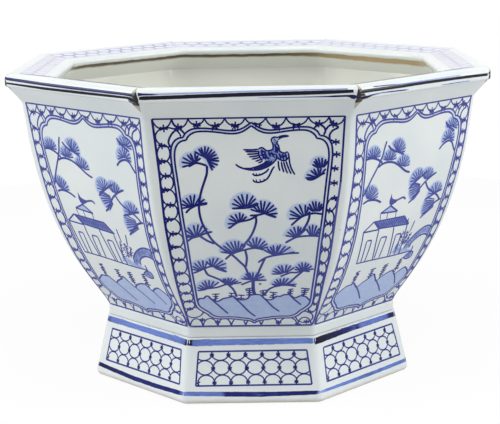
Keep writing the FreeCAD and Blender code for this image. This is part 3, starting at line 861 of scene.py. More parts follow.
def profile_up(zone, step=1.5):
    """(apothem, height) up the front side's outside, found with level rays."""
    heights = np.linspace(*zone, int((zone[1] - zone[0]) / step) + 2) * MM
    hits = [SKIN.ray_cast(Vector((0, -OUTSIDE, z)), Vector((0, 1, 0)))[0] for z in heights]
    return [(-hit.y, z) for hit, z in zip(hits, heights)]


def profile_over(zone, step=1.0):
    """(apothem, height) inwards over the ledge, found with upright rays."""
    apothems = np.linspace(*zone, int((zone[0] - zone[1]) / step) + 2) * MM
    hits = [SKIN.ray_cast(Vector((0, -a, OUTSIDE)), Vector((0, 0, -1)))[0] for a in apothems]
    return [(a, hit.z) for hit, a in zip(hits, apothems)]


WALL = Sheet(profile_up(WALL_ZONE))
FOOT = Sheet(profile_up(FOOT_ZONE))
EDGE = Sheet(profile_up(EDGE_ZONE, 0.4))
LEDGE = Sheet(profile_over(LEDGE_ZONE))


def smooth_path(points, step=1.3):
    """Points on a rounded curve through the given ones, about step apart."""
    given = np.asarray(points, float)
    if len(given) == 2:
        count = max(2, int(np.hypot(*(given[1] - given[0])) / (2.5 * step)) + 1)
        return given[0] + np.linspace(0, 1, count)[:, None] * (given[1] - given[0])
    ends = np.vstack([2 * given[0] - given[1], given, 2 * given[-1] - given[-2]])
    found = []
    for before, here, there, after in zip(ends, ends[1:], ends[2:], ends[3:]):
        count = max(1, round(float(np.hypot(*(there - here))) / step))
        for t in np.arange(count) / count:
            found.append(0.5 * (2 * here + (there - before) * t
                                + (2 * before - 5 * here + 4 * there - after) * t ** 2
                                + (3 * here - before - 3 * there + after) * t ** 3))
    found.append(given[-1])
    return np.array(found)


def side_steps(path):
    """Unit steps to the left of a flat path at each of its points."""
    way = np.gradient(path, axis=0)
    way /= np.maximum(np.linalg.norm(way, axis=1), 1e-9)[:, None]
    return np.stack([-way[:, 1], way[:, 0]], 1)


class Drawing:
    """Collects flat brush work as thin closed shells, and lays it on one or more sides."""

    # Depth of a shell's hidden side, height between crossing strokes, and how many heights there are
    SINK = -0.09
    LAYER = 0.004
    LAYERS = 6
    # Least wash that is drawn, and how a band's ends fade
    LEAST_WASH = 0.004
    END_FADE = 0.2
    END_COVER = 0.85
    BAND_STEP = 2.0

    def __init__(self, lift):
        self.lift = lift
        self.pins = []
        self.faces = []
        self.values = {"ink": [], "wash": [], "edge": []}
        self.strokes = 0

    def pin(self, across, along, lift, ink=0.0, wash=0.0, edge=0.0):
        self.pins.append((across, along, lift))
        self.values["ink"].append(ink)
        self.values["wash"].append(wash)
        self.values["edge"].append(edge)
        return len(self.pins) - 1

    def next_lift(self):
        """Each stroke lies a hair above the one before, so that crossing strokes don't share a plane."""
        self.strokes += 1
        return self.lift + self.LAYER * (self.strokes % self.LAYERS)

    def stroke(self, points, width, ink=1.0, rounded=True, ends=0.6, wash=0.0):
        """One line of the brush."""
        path = smooth_path(points) if rounded else np.asarray(points, float)
        steps = side_steps(path)
        lift = self.next_lift()
        before = None
        for i, (place, left) in enumerate(zip(path, steps)):
            half = width / 2 * (ends if i in (0, len(path) - 1) else 1.0)
            rail = [self.pin(*(place + left * half), lift, ink, wash),
                    self.pin(*(place - left * half), lift, ink, wash),
                    self.pin(*place, self.SINK, ink, wash)]
            if before is None:
                self.faces.append(rail[::-1])
            else:
                for a, b in ((0, 1), (1, 2), (2, 0)):
                    self.faces.append((before[a], before[b], rail[b], rail[a]))
            before = rail
        self.faces.append(before)

    def each(self, paths, width, **how):
        """One line for each path."""
        for path in paths:
            self.stroke(path, width, **how)

    def outline(self, corners, width):
        """Straight lines around a closed outline."""
        for start, end in zip(corners, corners[1:] + corners[:1]):
            self.stroke((start, end), width, ends=1.0)

    def patch(self, outline):
        """A filled shape."""
        lift = self.next_lift()
        top = [self.pin(u, v, lift, 1.0) for u, v in outline]
        low = [self.pin(u, v, self.SINK, 1.0) for u, v in outline]
        for a, b, c in tessellate_polygon([[Vector((u, v, 0)) for u, v in outline]]):
            self.faces.append((top[a], top[b], top[c]))
            self.faces.append((low[c], low[b], low[a]))
        for i in range(len(outline)):
            j = (i + 1) % len(outline)
            self.faces.append((top[j], top[i], low[i], low[j]))

    def add_mesh(self, mesh):
        """Takes in a flat mesh that the node trees made."""
        start = len(self.pins)
        shades = mesh.attributes.get("ink")
        for i, vertex in enumerate(mesh.vertices):
            ink = shades.data[i].value if shades else 1.0
            self.pin(vertex.co.x, vertex.co.y, vertex.co.z, ink)
        self.faces.extend(tuple(start + i for i in polygon.vertices) for polygon in mesh.polygons)

    def add_grid(self, across, along, amounts, lift):
        """A thin skin over the cells of a grid where the wash amount isn't nothing."""
        kept = {}

        def corner(i, j, top):
            if (i, j, top) not in kept:
                kept[i, j, top] = self.pin(across[i], along[j], lift if top else self.SINK, 0, amounts[i, j])
            return kept[i, j, top]

        cells = {(i, j) for i in range(len(across) - 1) for j in range(len(along) - 1)
                 if amounts[i:i + 2, j:j + 2].max() > self.LEAST_WASH}
        for i, j in sorted(cells):
            ring = ((i, j), (i + 1, j), (i + 1, j + 1), (i, j + 1))
            self.faces.append([corner(*c, True) for c in ring])
            self.faces.append([corner(*c, False) for c in ring[::-1]])
            beside = ((i, j - 1), (i + 1, j), (i, j + 1), (i - 1, j))
            for k, other in enumerate(beside):
                if other not in cells:
                    a, b = ring[k], ring[(k + 1) % 4]
                    self.faces.append([corner(*c, top)
                                       for c, top in ((b, True), (a, True), (a, False), (b, False))])

    def brush_band(self, stations, across_points=6):
        """A broad band from stations (across, middle, half height, ink), with soft edges."""
        lift = self.next_lift()
        ends = np.asarray(stations, float)
        count = max(2, int((ends[-1, 0] - ends[0, 0]) / self.BAND_STEP) + 1)
        along = np.linspace(ends[0, 0], ends[-1, 0], count)
        middle, half, ink = (np.interp(along, ends[:, 0], ends[:, k]) for k in (1, 2, 3))
        before = None
        for i in range(count):
            lane = np.linspace(-1, 1, across_points)
            fade = min(1.0, self.END_FADE * min(i, count - 1 - i) + self.END_COVER)
            top = [self.pin(along[i], middle[i] + half[i] * t, lift, ink[i], 0, (1 - abs(t) ** 3) * fade)
                   for t in lane]
            low = [self.pin(along[i], middle[i] + half[i] * t, self.SINK, ink[i]) for t in (-1, 1)]
            if before is None:
                self.faces.append([*top, low[1], low[0]])
            else:
                for k in range(across_points - 1):
                    self.faces.append((before[0][k], top[k], top[k + 1], before[0][k + 1]))
                self.faces.append((before[1][0], low[0], top[0], before[0][0]))
                self.faces.append((before[0][-1], top[-1], low[1], before[1][1]))
                self.faces.append((before[1][1], low[1], low[0], before[1][0]))
            before = (top, low)
        self.faces.append([before[1][0], before[1][1], *before[0][::-1]])

    def lay(self, name, sheet, side, material, ink_scale=None):
        """Makes the piece on one side of the pot."""
        mesh = bpy.data.meshes.new(name)
        mesh.from_pydata(sheet.settle(self.pins, side).tolist(), [], self.faces)
        for key, values in self.values.items():
            values = np.array(values, np.float32)
            if key == "ink" and ink_scale is not None:
                values = np.array([ink_scale(v, pin) for v, pin in zip(values, self.pins)], np.float32)
            if values.any():
                mesh.attributes.new(key, "FLOAT", "POINT").data.foreach_set("value", values)
        work = bmesh.new()
        work.from_mesh(mesh)
        bmesh.ops.recalc_face_normals(work, faces=work.faces)
        work.to_mesh(mesh)
        work.free()
        mesh.materials.append(material)
        piece = bpy.data.objects.new(name, mesh)
        bpy.context.scene.collection.objects.link(piece)
        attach(piece, "root")


class NodeTree:
    """Builds one geometry node tree with named inputs."""

    def __init__(self, name, inputs):
        self.tree = bpy.data.node_groups.new(name, "GeometryNodeTree")
        self.tree.interface.new_socket("Geometry", in_out="INPUT", socket_type="NodeSocketGeometry")
        for label, kind in inputs:
            self.tree.interface.new_socket(label, in_out="INPUT", socket_type=kind)
        self.tree.interface.new_socket("Geometry", in_out="OUTPUT", socket_type="NodeSocketGeometry")
        self.given = self.tree.nodes.new("NodeGroupInput").outputs

    def add(self, kind, settings=None, inputs=None, output=0):
        node = self.tree.nodes.new(kind)
        for key, value in (settings or {}).items():
            setattr(node, key, value)
        for key, value in (inputs or {}).items():
            sources = value if isinstance(value, list) else [value]
            for source in sources:
                if isinstance(source, bpy.types.NodeSocket):
                    self.tree.links.new(source, node.inputs[key])
                else:
                    node.inputs[key].default_value = source
        return node.outputs[output]

    def named(self, name, kind="FLOAT"):
        return self.add("GeometryNodeInputNamedAttribute", {"data_type": kind}, {"Name": name})

    def spun(self, turn):
        euler = self.add("ShaderNodeCombineXYZ", {}, {2: turn})
        return self.add("FunctionNodeEulerToRotation", {}, {0: euler})

    def ribbon(self, curve, width, depth):
        """Lines made into three-sided ribbons: a flat top, and an edge sunk in the glaze."""
        wide = self.add("ShaderNodeMath", {"operation": "MULTIPLY"}, {0: width, 1: TRIANGLE_RADIUS})
        profile = self.add("GeometryNodeCurvePrimitiveCircle", {}, {"Resolution": 3})
        size = self.add("ShaderNodeCombineXYZ", {}, {0: depth, 1: wide, 2: 1.0})
        profile = self.add("GeometryNodeTransform", {}, {"Geometry": profile, "Scale": size,
                                                         "Rotation": (0, 0, math.pi / 2)})
        flat = self.add("GeometryNodeSetCurveNormal", {"mode": "Z_UP"}, {"Curve": curve})
        return self.add("GeometryNodeCurveToMesh", {}, {"Curve": flat, "Profile Curve": profile,
                                                        "Fill Caps": True})

    def finish(self, geometry, material):
        whole = self.add("GeometryNodeRealizeInstances", {}, {"Geometry": geometry})
        coated = self.add("GeometryNodeSetMaterial", {}, {"Geometry": whole, "Material": material})
        out = self.tree.nodes.new("NodeGroupOutput")
        self.tree.links.new(coated, out.inputs[0])
        return self.tree


def ring_net_tree():
    """Rings and knots on points, trimmed to a field and drawn as ribbons."""
    nodes = NodeTree("ring_net", (
        ("Field", "NodeSocketObject"), ("Line Width", "NodeSocketFloat"), ("Line Depth", "NodeSocketFloat"),
        ("Ring Steps", "NodeSocketInt"), ("Cobalt", "NodeSocketMaterial")))
    given = nodes.given
    knots = nodes.named("is_knot", "BOOLEAN")
    rings = nodes.add("FunctionNodeBooleanMath", {"operation": "NOT"}, {0: knots})
    size = nodes.add("ShaderNodeCombineXYZ", {},
                     {0: nodes.named("half_width"), 1: nodes.named("half_height"), 2: 1.0})
    turn = nodes.spun(nodes.named("turn"))
    ring = nodes.add("GeometryNodeCurvePrimitiveCircle", {}, {"Resolution": given["Ring Steps"]})
    arms = [nodes.add("GeometryNodeCurvePrimitiveLine", {}, {"Start": (-x, -y, 0), "End": (x, y, 0)})
            for x, y in KNOT_ARMS]
    knot = nodes.add("GeometryNodeJoinGeometry", {}, {0: arms})
    links = [nodes.add("GeometryNodeInstanceOnPoints", {},
                       {"Points": given["Geometry"], "Selection": where, "Instance": shape, "Rotation": turn,
                        "Scale": size})
             for where, shape in ((rings, ring), (knots, knot))]
    joined = nodes.add("GeometryNodeJoinGeometry", {}, {0: links})
    whole = nodes.add("GeometryNodeRealizeInstances", {}, {"Geometry": joined})
    wires = nodes.add("GeometryNodeCurveToMesh", {}, {"Curve": whole})
    field = nodes.add("GeometryNodeObjectInfo", {}, {"Object": given["Field"]}, 4)
    above = nodes.add("ShaderNodeVectorMath", {"operation": "ADD"},
                      {0: nodes.add("GeometryNodeInputPosition"), 1: (0, 0, 5)})
    inside = nodes.add("GeometryNodeRaycast", {}, {"Target Geometry": field, "Source Position": above,
                                                   "Ray Direction": (0, 0, -1), "Ray Length": 10.0})
    outside = nodes.add("FunctionNodeBooleanMath", {"operation": "NOT"}, {0: inside})
    kept = nodes.add("GeometryNodeDeleteGeometry", {"domain": "POINT"},
                     {"Geometry": wires, "Selection": outside})
    lines = nodes.add("GeometryNodeMeshToCurve", {}, {"Mesh": kept})
    return nodes.finish(nodes.ribbon(lines, given["Line Width"], given["Line Depth"]), given["Cobalt"])


def needle_tree():
    """Pine needles on points, each as long and as turned as its point says."""
    nodes = NodeTree("needle_spray", (
        ("Line Width", "NodeSocketFloat"), ("Line Depth", "NodeSocketFloat"),
        ("Cobalt", "NodeSocketMaterial")))
    given = nodes.given
    line = nodes.add("GeometryNodeCurvePrimitiveLine", {}, {"Start": (0, 0, 0), "End": (1, 0, 0)})
    line = nodes.add("GeometryNodeResampleCurve", {}, {"Curve": line, "Count": NEEDLE_STEPS})
    swell = nodes.add("ShaderNodeFloatCurve", {}, {"Value": nodes.add("GeometryNodeSplineParameter")})
    curve = swell.node.mapping.curves[0]
    curve.points[0].location = NEEDLE_SWELL[0]
    curve.points[1].location = NEEDLE_SWELL[-1]
    for place in NEEDLE_SWELL[1:-1]:
        curve.points.new(*place)
    swell.node.mapping.update()
    shape = nodes.ribbon(line, given["Line Width"], given["Line Depth"])
    nodes.tree.links.new(swell, shape.node.inputs["Scale"])
    size = nodes.add("ShaderNodeCombineXYZ", {}, {0: nodes.named("length"), 1: 1.0, 2: 1.0})
    spray = nodes.add("GeometryNodeInstanceOnPoints", {},
                      {"Points": given["Geometry"], "Instance": shape, "Scale": size,
                       "Rotation": nodes.spun(nodes.named("turn"))})
    return nodes.finish(spray, given["Cobalt"])


def run_tree(tree, points, inputs):
    """Evaluates a node tree on flat points with attributes, and returns the plain mesh it makes."""
    base = bpy.data.meshes.new("flat_points")
    base.from_pydata([(*row["place"], 0.0) for row in points], [], [])
    for key in points[0]:
        if key == "place":
            continue
        kind = "BOOLEAN" if key == "is_knot" else "FLOAT"
        base.attributes.new(key, kind, "POINT").data.foreach_set("value", [row[key] for row in points])
    holder = bpy.data.objects.new("flat_holder", base)
    bpy.context.scene.collection.objects.link(holder)
    modifier = holder.modifiers.new("drawing", "NODES")
    modifier.node_group = tree
    for item in tree.interface.items_tree:
        if item.in_out == "INPUT" and item.name in inputs:
            modifier[item.identifier] = inputs[item.name]
    made = holder.evaluated_get(bpy.context.evaluated_depsgraph_get())
    mesh = bpy.data.meshes.new_from_object(made)
    holder.modifiers.remove(modifier)
    bpy.data.objects.remove(holder)
    if not mesh.polygons:
        raise RuntimeError(f"the tree {tree.name} made no faces")
    return mesh


def flat_field(name, corners, faces):
    """A flat mesh that bounds where a pattern may show."""
    mesh = bpy.data.meshes.new(name)
    mesh.from_pydata([(u, v, 0.0) for u, v in corners], [], faces)
    field = bpy.data.objects.new(name, mesh)
    bpy.context.scene.collection.objects.link(field)
    return field


def ring(place, half_width, half_height, turn=0.0):
    return {"place": place, "half_width": half_width, "half_height": half_height, "turn": turn,
            "is_knot": False}


def knot(place, reach_across, reach_up):
    return {**ring(place, reach_across, reach_up, HAND.normal(0, KNOT_TURN)), "is_knot": True}


def cartouche(inset=0.0):
    """The cartouche outline as six runs between cusps, clockwise from its peak."""
    across, up = CARTOUCHE_MIDDLE
    wide, tall = (1 - inset / half for half in CARTOUCHE_HALF)
    half = [[(dx * wide, up + (s - up) * tall) for dx, s in run] for run in CARTOUCHE_RUNS]
    right = [[(across + dx, s) for dx, s in run] for run in half]
    left = [[(across - dx, s) for dx, s in run[::-1]] for run in half[::-1]]
    return right + left


def cartouche_loop(inset=0.0):
    """The whole outline as one loop of points."""
    return np.vstack([smooth_path(run, 2.5)[:-1] for run in cartouche(inset)])


def inside_loop(points, loop):
    """Which points lie inside a closed outline."""
    x, y = points[..., 0], points[..., 1]
    within = np.zeros(x.shape, bool)
    for (ax, ay), (bx, by) in zip(loop, np.roll(loop, -1, 0)):
        crosses = (ay > y) != (by > y)
        with np.errstate(divide="ignore", invalid="ignore"):
            within ^= crosses & (x < (bx - ax) * (y - ay) / (by - ay) + ax)
    return within


def depth_in_loop(points, loop):
    """Distance to a closed outline, positive inside it."""
    near = np.full(points.shape[:-1], 1e9)
    for a, b in zip(loop, np.roll(loop, -1, 0)):
        run = b - a
        share = np.clip(((points - a) @ run) / max(run @ run, 1e-9), 0, 1)
        near = np.minimum(near, np.linalg.norm(points - a - share[..., None] * run, axis=-1))
    return np.where(inside_loop(points, np.asarray(loop)), near, -near)


def ease(values, low, high):
    share = np.clip((values - low) / (high - low), 0, 1)
    return share * share * (3 - 2 * share)


def border_field():
    """The strip between the panel frame and the cartouche, where the links show."""
    loop = cartouche_loop(BORDER_INSET)
    middle = np.array(CARTOUCHE_MIDDLE)
    frame_loop = middle + (np.vstack([smooth_path(PANEL_RIGHT, 12), smooth_path(PANEL_LEFT, 12)[::-1]])
                           - middle) * BORDER_GROWTH
    outer = []
    for point in loop:
        way = point - middle
        reach = []
        for a, b in zip(frame_loop, np.roll(frame_loop, -1, 0)):
            edge = b - a
            cross = way[0] * edge[1] - way[1] * edge[0]
            if abs(cross) < 1e-9:
                continue
            gap = a - middle
            t = (gap[0] * edge[1] - gap[1] * edge[0]) / cross
            s = (gap[0] * way[1] - gap[1] * way[0]) / cross
            if t > 0 and -1e-6 <= s <= 1 + 1e-6:
                reach.append(t)
        outer.append(middle + way * min(reach))
    count = len(loop)
    corners = [tuple(p) for p in loop] + [tuple(p) for p in outer]
    faces = [(i, (i + 1) % count, count + (i + 1) % count, count + i) for i in range(count)]
    for corner in frame_loop:
        near = int(np.argmin(np.linalg.norm(np.array(outer) - corner, axis=1)))
        corners.append(tuple(corner))
        for other in ((near + 1) % count, (near - 1) % count):
            faces.append((count + near, count + other, len(corners) - 1))
    return flat_field("border_field", corners, faces)


def frame_edge(s, right):
    """Where the frame's left or right line stands at a distance up the wall."""
    path = smooth_path(PANEL_RIGHT if right else PANEL_LEFT, 3)[::-1]
    return float(np.interp(s, path[:, 1], path[:, 0]))


def border_points(worn):
    """Rings and knots of one panel's border. On a worn panel the upper right links have rubbed away."""
    loop = cartouche_loop()
    points = []
    for joints, right in ((LEFT_JOINTS, False), (RIGHT_JOINTS, True)):
        for i, (upper, lower) in enumerate(zip(joints, joints[1:])):
            up, low = np.array(upper), np.array(lower)
            centre = (up + low) / 2
            outer = frame_edge(centre[1], right)
            beside = loop[(loop[:, 0] > 0) == right]
            inner = beside[np.argmin(abs(beside[:, 1] - centre[1]) + (abs(beside[:, 0]) < 30) * 50)][0]
            gap = abs(outer - inner)
            rubbed = worn and right
            if rubbed and i < RUBBED_AWAY:
                continue
            centre[0] = inner + (outer - inner) * RING_PLACE[rubbed] + HAND.normal(0, RING_DRIFT)
            lean = math.atan2(low[0] - up[0], up[1] - low[1])
            half_tall = np.hypot(*(up - low)) / 2 + RING_OVERLAP
            points.append(ring(centre, gap * RING_SHARE[rubbed], half_tall, lean))
        for joint in joints[1:-1]:
            reach = KNOT_REACH if joint[1] > LOW_KNOTS else LOW_KNOT_REACH
            points.append(knot(joint, reach, reach * 0.9))
    for left, right, (middle, bottom) in zip(TOP_CUSPS, TOP_CUSPS[1:], TOP_KNOTS):
        sag = SCALLOP_TOP - bottom + SCALLOP_RISE
        half = (right - left) / 2 / math.sqrt(1 - (SCALLOP_RISE / sag) ** 2)
        points.append(ring(((left + right) / 2, SCALLOP_TOP + SCALLOP_RISE), half, sag))
        points.append(knot((middle, bottom + 0.3), TOP_KNOT_REACH, TOP_KNOT_REACH))
    for left, right in zip(BOTTOM_FEET, BOTTOM_FEET[1:]):
        points.append(ring(((left + right) / 2, ARCH_FOOT), (right - left) / 2, ARCH_TALL))
    for place in BOTTOM_KNOTS:
        points.append(knot(place, *BOTTOM_KNOT_REACH))
    return points


def fan_reach(share, first, middle, last):
    """Reach of a needle at a share of the fan's sweep, on a curve through its three given reaches."""
    return first + share * (4 * middle - 3 * first - last) + share * share * 2 * (first + last - 2 * middle)


def needle_points(fans):
    """One point for each needle of the fans, rooted along the twig, with the small unevenness of a hand."""
    points = []
    for across, up, first, first_reach, middle_reach, last, last_reach, count in fans:
        centre = np.array((across, up))
        twig = math.radians((first + last) / 2 - 90)
        along = np.array((math.cos(twig), math.sin(twig)))
        for share in np.linspace(0, 1, count):
            turn = math.radians(first + (last - first) * share + HAND.normal(0, NEEDLE_TURN))
            reach = fan_reach(share, first_reach, middle_reach, last_reach) * HAND.uniform(*NEEDLE_REACH)
            tip = centre + reach * np.array((math.cos(turn), math.sin(turn)))
            root = centre + along * (0.5 - share) * middle_reach * NEEDLE_ROOTS
            way = tip - root
            points.append({"place": tuple(root), "turn": math.atan2(way[1], way[0]),
                           "length": float(np.hypot(*way)), "ink": HAND.uniform(*NEEDLE_INK)})
    return points


def draw_tufts(drawing, tufts, width, ink):
    """Grass: a stalk with short crossing leaves."""
    for across, up, tall in tufts:
        lean = HAND.normal(*STALK_LEAN)
        drawing.stroke(((across, up - 0.6), (across + lean * tall, up + tall)), width, ink)
        for share in np.linspace(FIRST_LEAF, 1.0, max(2, round(tall / LEAF_GAP))):
            middle = across + lean * tall * share
            reach = HAND.uniform(*LEAF_REACH)
            rise = HAND.uniform(*LEAF_RISE)
            drawing.stroke(((middle - reach, up + tall * share - rise), (middle, up + tall * share),
                            (middle + reach, up + tall * share + rise * 0.6)), width * 0.9, ink * 0.95)


def fan_wash(grid, fans):
    """How much wash lies at each grid point around the fans, drifted a little to the upper left."""
    amount = np.zeros(grid.shape[:-1])
    for across, up, first, first_reach, middle_reach, last, last_reach, _ in fans:
        offset = grid - np.array((across, up)) - np.array(FAN_DRIFT)
        away = np.hypot(offset[..., 0], offset[..., 1])
        angle = np.degrees(np.arctan2(offset[..., 1], offset[..., 0]))
        middle = (first + last) / 2
        turn = (angle - middle + 180) % 360 - 180
        share = np.clip(turn / (last - first) + 0.5, 0, 1)
        reach = fan_reach(share, first_reach, middle_reach, last_reach)
        beyond = (abs(turn) - (last - first) / 2) * np.radians(1) * away
        cover = (1 - ease(away, reach, reach + FAN_FADE)) * (1 - ease(beyond, *FAN_SIDE_FADE))
        amount = np.maximum(amount, cover)
    return amount


def fill_wash(grid, outline, amount, soft=0.7):
    """Wash inside an outline, soft at its edge."""
    return amount * ease(depth_in_loop(grid, np.array(outline, float)), -soft * 0.4, soft)


def wash_drawing(fans, strength, fills):
    """The wash of one panel as a thin skin, kept inside the cartouche."""
    across = np.arange(*WASH_ACROSS, WASH_STEP)
    along = np.arange(*WASH_UP, WASH_STEP)
    grid = np.stack(np.meshgrid(across, along, indexing="ij"), -1)
    amount = fan_wash(grid, fans) * strength
    for outline, part in fills:
        amount = np.maximum(amount, fill_wash(grid, outline, WASH[part]))
    amount *= ease(depth_in_loop(grid, cartouche_loop(CARTOUCHE_INSET)), -0.8, 0.2)
    drawing = Drawing(WASH_LIFT)
    drawing.add_grid(across, along, amount, WASH_LIFT)
    middle = cartouche(CARTOUCHE_INSET / 2)
    drawing.each(middle, CARTOUCHE_INSET - 0.5, ink=0.0, wash=WASH["cartouche"], ends=1.0)
    return drawing


def rock_fill(ridge):
    """The closed outline of the rocks, from their ridge down to the cartouche."""
    loop = cartouche_loop(CARTOUCHE_INSET)
    low = loop[loop[:, 1] < ROCK_EDGE]
    low = low[np.argsort(-low[:, 0])]
    return np.vstack([smooth_path(ridge), low])


def panel_ink(side):
    """How a panel's ink changes with the place: pines fade downwards, pavilions are pale throughout."""

    def faded(ink, pin):
        share = ease(np.array(pin[1]), *(LEFT_FRAME_FADE if pin[0] < LEFT_FRAME else FADE))
        return ink * (FADED_INK + (1 - FADED_INK) * float(share))

    return faded if side in PINE_SIDES else lambda ink, pin: ink * PAVILION_INK


def moved(points, shift):
    """Points of a drawing, moved sideways."""
    return tuple((x + shift, y) for x, y in points)


class PlanterOperator(bpy.types.Operator):
    """Shared settings of the planter's operators"""

    bl_options = {"REGISTER", "UNDO"}

    @property
    def glaze(self):
        return bpy.context.scene.planter_glaze

    @property
    def ink(self):
        return bpy.context.scene.planter_ink

    @property
    def stage(self):
        return bpy.context.scene.planter_stage

    @property
    def line(self):
        return self.ink.line / MM

    @property
    def heavy(self):
        return self.ink.heavy_line / MM

    @property
    def lift(self):
        return self.ink.lift / MM

    def cobalt(self):
        return bpy.data.materials.get("cobalt_line") or line_material("cobalt_line", self.glaze, self.ink)

    def washes(self):
        return bpy.data.materials.get("cobalt_wash") or wash_material("cobalt_wash", self.glaze, self.ink)

    def rings(self, points, width, steps, field, cobalt=None):
        """A drawing of rings and knots, trimmed to a field."""
        tree = bpy.data.node_groups.get("ring_net") or ring_net_tree()
        drawing = Drawing(self.lift)
        drawing.add_mesh(run_tree(tree, points, {
            "Field": field, "Line Width": width, "Line Depth": 2 * self.lift, "Ring Steps": steps,
            "Cobalt": cobalt or self.cobalt()}))
        return drawing

    def needles(self, fans, width):
        """A drawing of pine needles."""
        tree = bpy.data.node_groups.get("needle_spray") or needle_tree()
        drawing = Drawing(self.lift)
        drawing.add_mesh(run_tree(tree, needle_points(fans), {
            "Line Width": width, "Line Depth": 3 * self.lift, "Cobalt": self.cobalt()}))
        return drawing

    def lay_lines(self, side, **drawings):
        """Lays line drawings on one side's wall, each named after its label and the side."""
        for label, drawing in drawings.items():
            drawing.lay(f"{label}_{SIDES[side]}", WALL, side, self.cobalt(), panel_ink(side))


class PLANTER_OT_glaze_body(PlanterOperator):
    """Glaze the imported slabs, floor and coils"""

    bl_idname = "planter.glaze_body"
    bl_label = "Glaze Body"

    def execute(self, context):
        zones = {"wall_slab": "wall", "rim_slab": "rim", "foot_slab": "foot", "floor_slab": "outside",
                 "luting_coil": "inside"}
        for start, zone in zones.items():
            material = glaze_material(start + "_glaze", self.glaze, zone)
            for name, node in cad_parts.items():
                if name.startswith(start):
                    for slot in node.material_slots:
                        slot.material = material
        return {"FINISHED"}


class PLANTER_OT_panel_frames(PlanterOperator):
    """Draw the frame and the double cartouche line on every side"""

    bl_idname = "planter.panel_frames"
    bl_label = "Panel Frames"

    def execute(self, context):
        line = self.line
        drawing = Drawing(self.lift)
        drawing.stroke(PANEL_LEFT, self.heavy, ends=1.0)
        for run, shade in FRAME_RIGHT:
            drawing.stroke(run, line, shade, ends=1.0)
        for end, width in ((0, line), (-1, self.heavy)):
            left, right = np.array(PANEL_LEFT[end]), np.array(PANEL_RIGHT[end])
            path = left + np.linspace(0, 1, 48)[:, None] * (right - left)
            drawing.stroke(path, width * SHARE["level"], rounded=False, ends=1.0)
        for inset in (0.0, CARTOUCHE_INSET):
            drawing.each(cartouche(inset), line * SHARE["cartouche"], ends=1.0)
        drawing.each(CORNER_STROKES, line)
        for across, bottom in TOP_KNOTS[2:8]:
            for way in (-1, 1):
                drawing.stroke([(across + way * x, bottom + y) for x, y in BARB], line)
        for side in range(len(SIDES)):
            self.lay_lines(side, panel_frame=drawing)
        return {"FINISHED"}


class PLANTER_OT_link_borders(PlanterOperator):
    """Draw the chains of rings and knots around every panel"""

    bl_idname = "planter.link_borders"
    bl_label = "Link Borders"

    def execute(self, context):
        field = border_field()
        for worn in (True, False):
            drawing = self.rings(border_points(worn), self.line * SHARE["link"], BORDER_RING_STEPS, field)
            for side in range(len(SIDES)):
                if (side == 0) == worn:
                    self.lay_lines(side, link_border=drawing)
        bpy.data.objects.remove(field)
        return {"FINISHED"}


class PLANTER_OT_pine_panels(PlanterOperator):
    """Paint the pine and crane on four sides"""

    bl_idname = "planter.pine_panels"
    bl_label = "Pine Panels"

    def execute(self, context):
        line = self.line
        needles = self.needles(PINE_FANS, line * SHARE["pine_needle"])
        tree = Drawing(self.lift + STEM_LIFT)
        tree.each(PINE_TWIGS, line * SHARE["pine_twig"])
        tree.each(PINE_STEMS, self.heavy, ends=0.9)
        tree.stroke(PINE_TRUNK, self.heavy * SHARE["trunk"], ends=1.0)
        tree.stroke(PINE_ROCKS, line * SHARE["pine_rock"])
        tree.each(PINE_SLOPES, line)
        draw_tufts(tree, PINE_TUFTS, line, PINE_TUFT_INK)
        crane = Drawing(self.lift + FIGURE_LIFT)
        for strokes, width in CRANE:
            crane.each(strokes, width)
        fills = ((rock_fill(PINE_ROCKS), "pine_rocks"), (CRANE_SHADE, "crane"))
        wash = wash_drawing(PINE_FANS, WASH["pine_fans"], fills)
        for side in PINE_SIDES:
            self.lay_lines(side, pine_needles=needles, pine_stems=tree, crane=crane)
            wash.lay(f"pine_wash_{SIDES[side]}", WALL, side, self.washes())
        return {"FINISHED"}


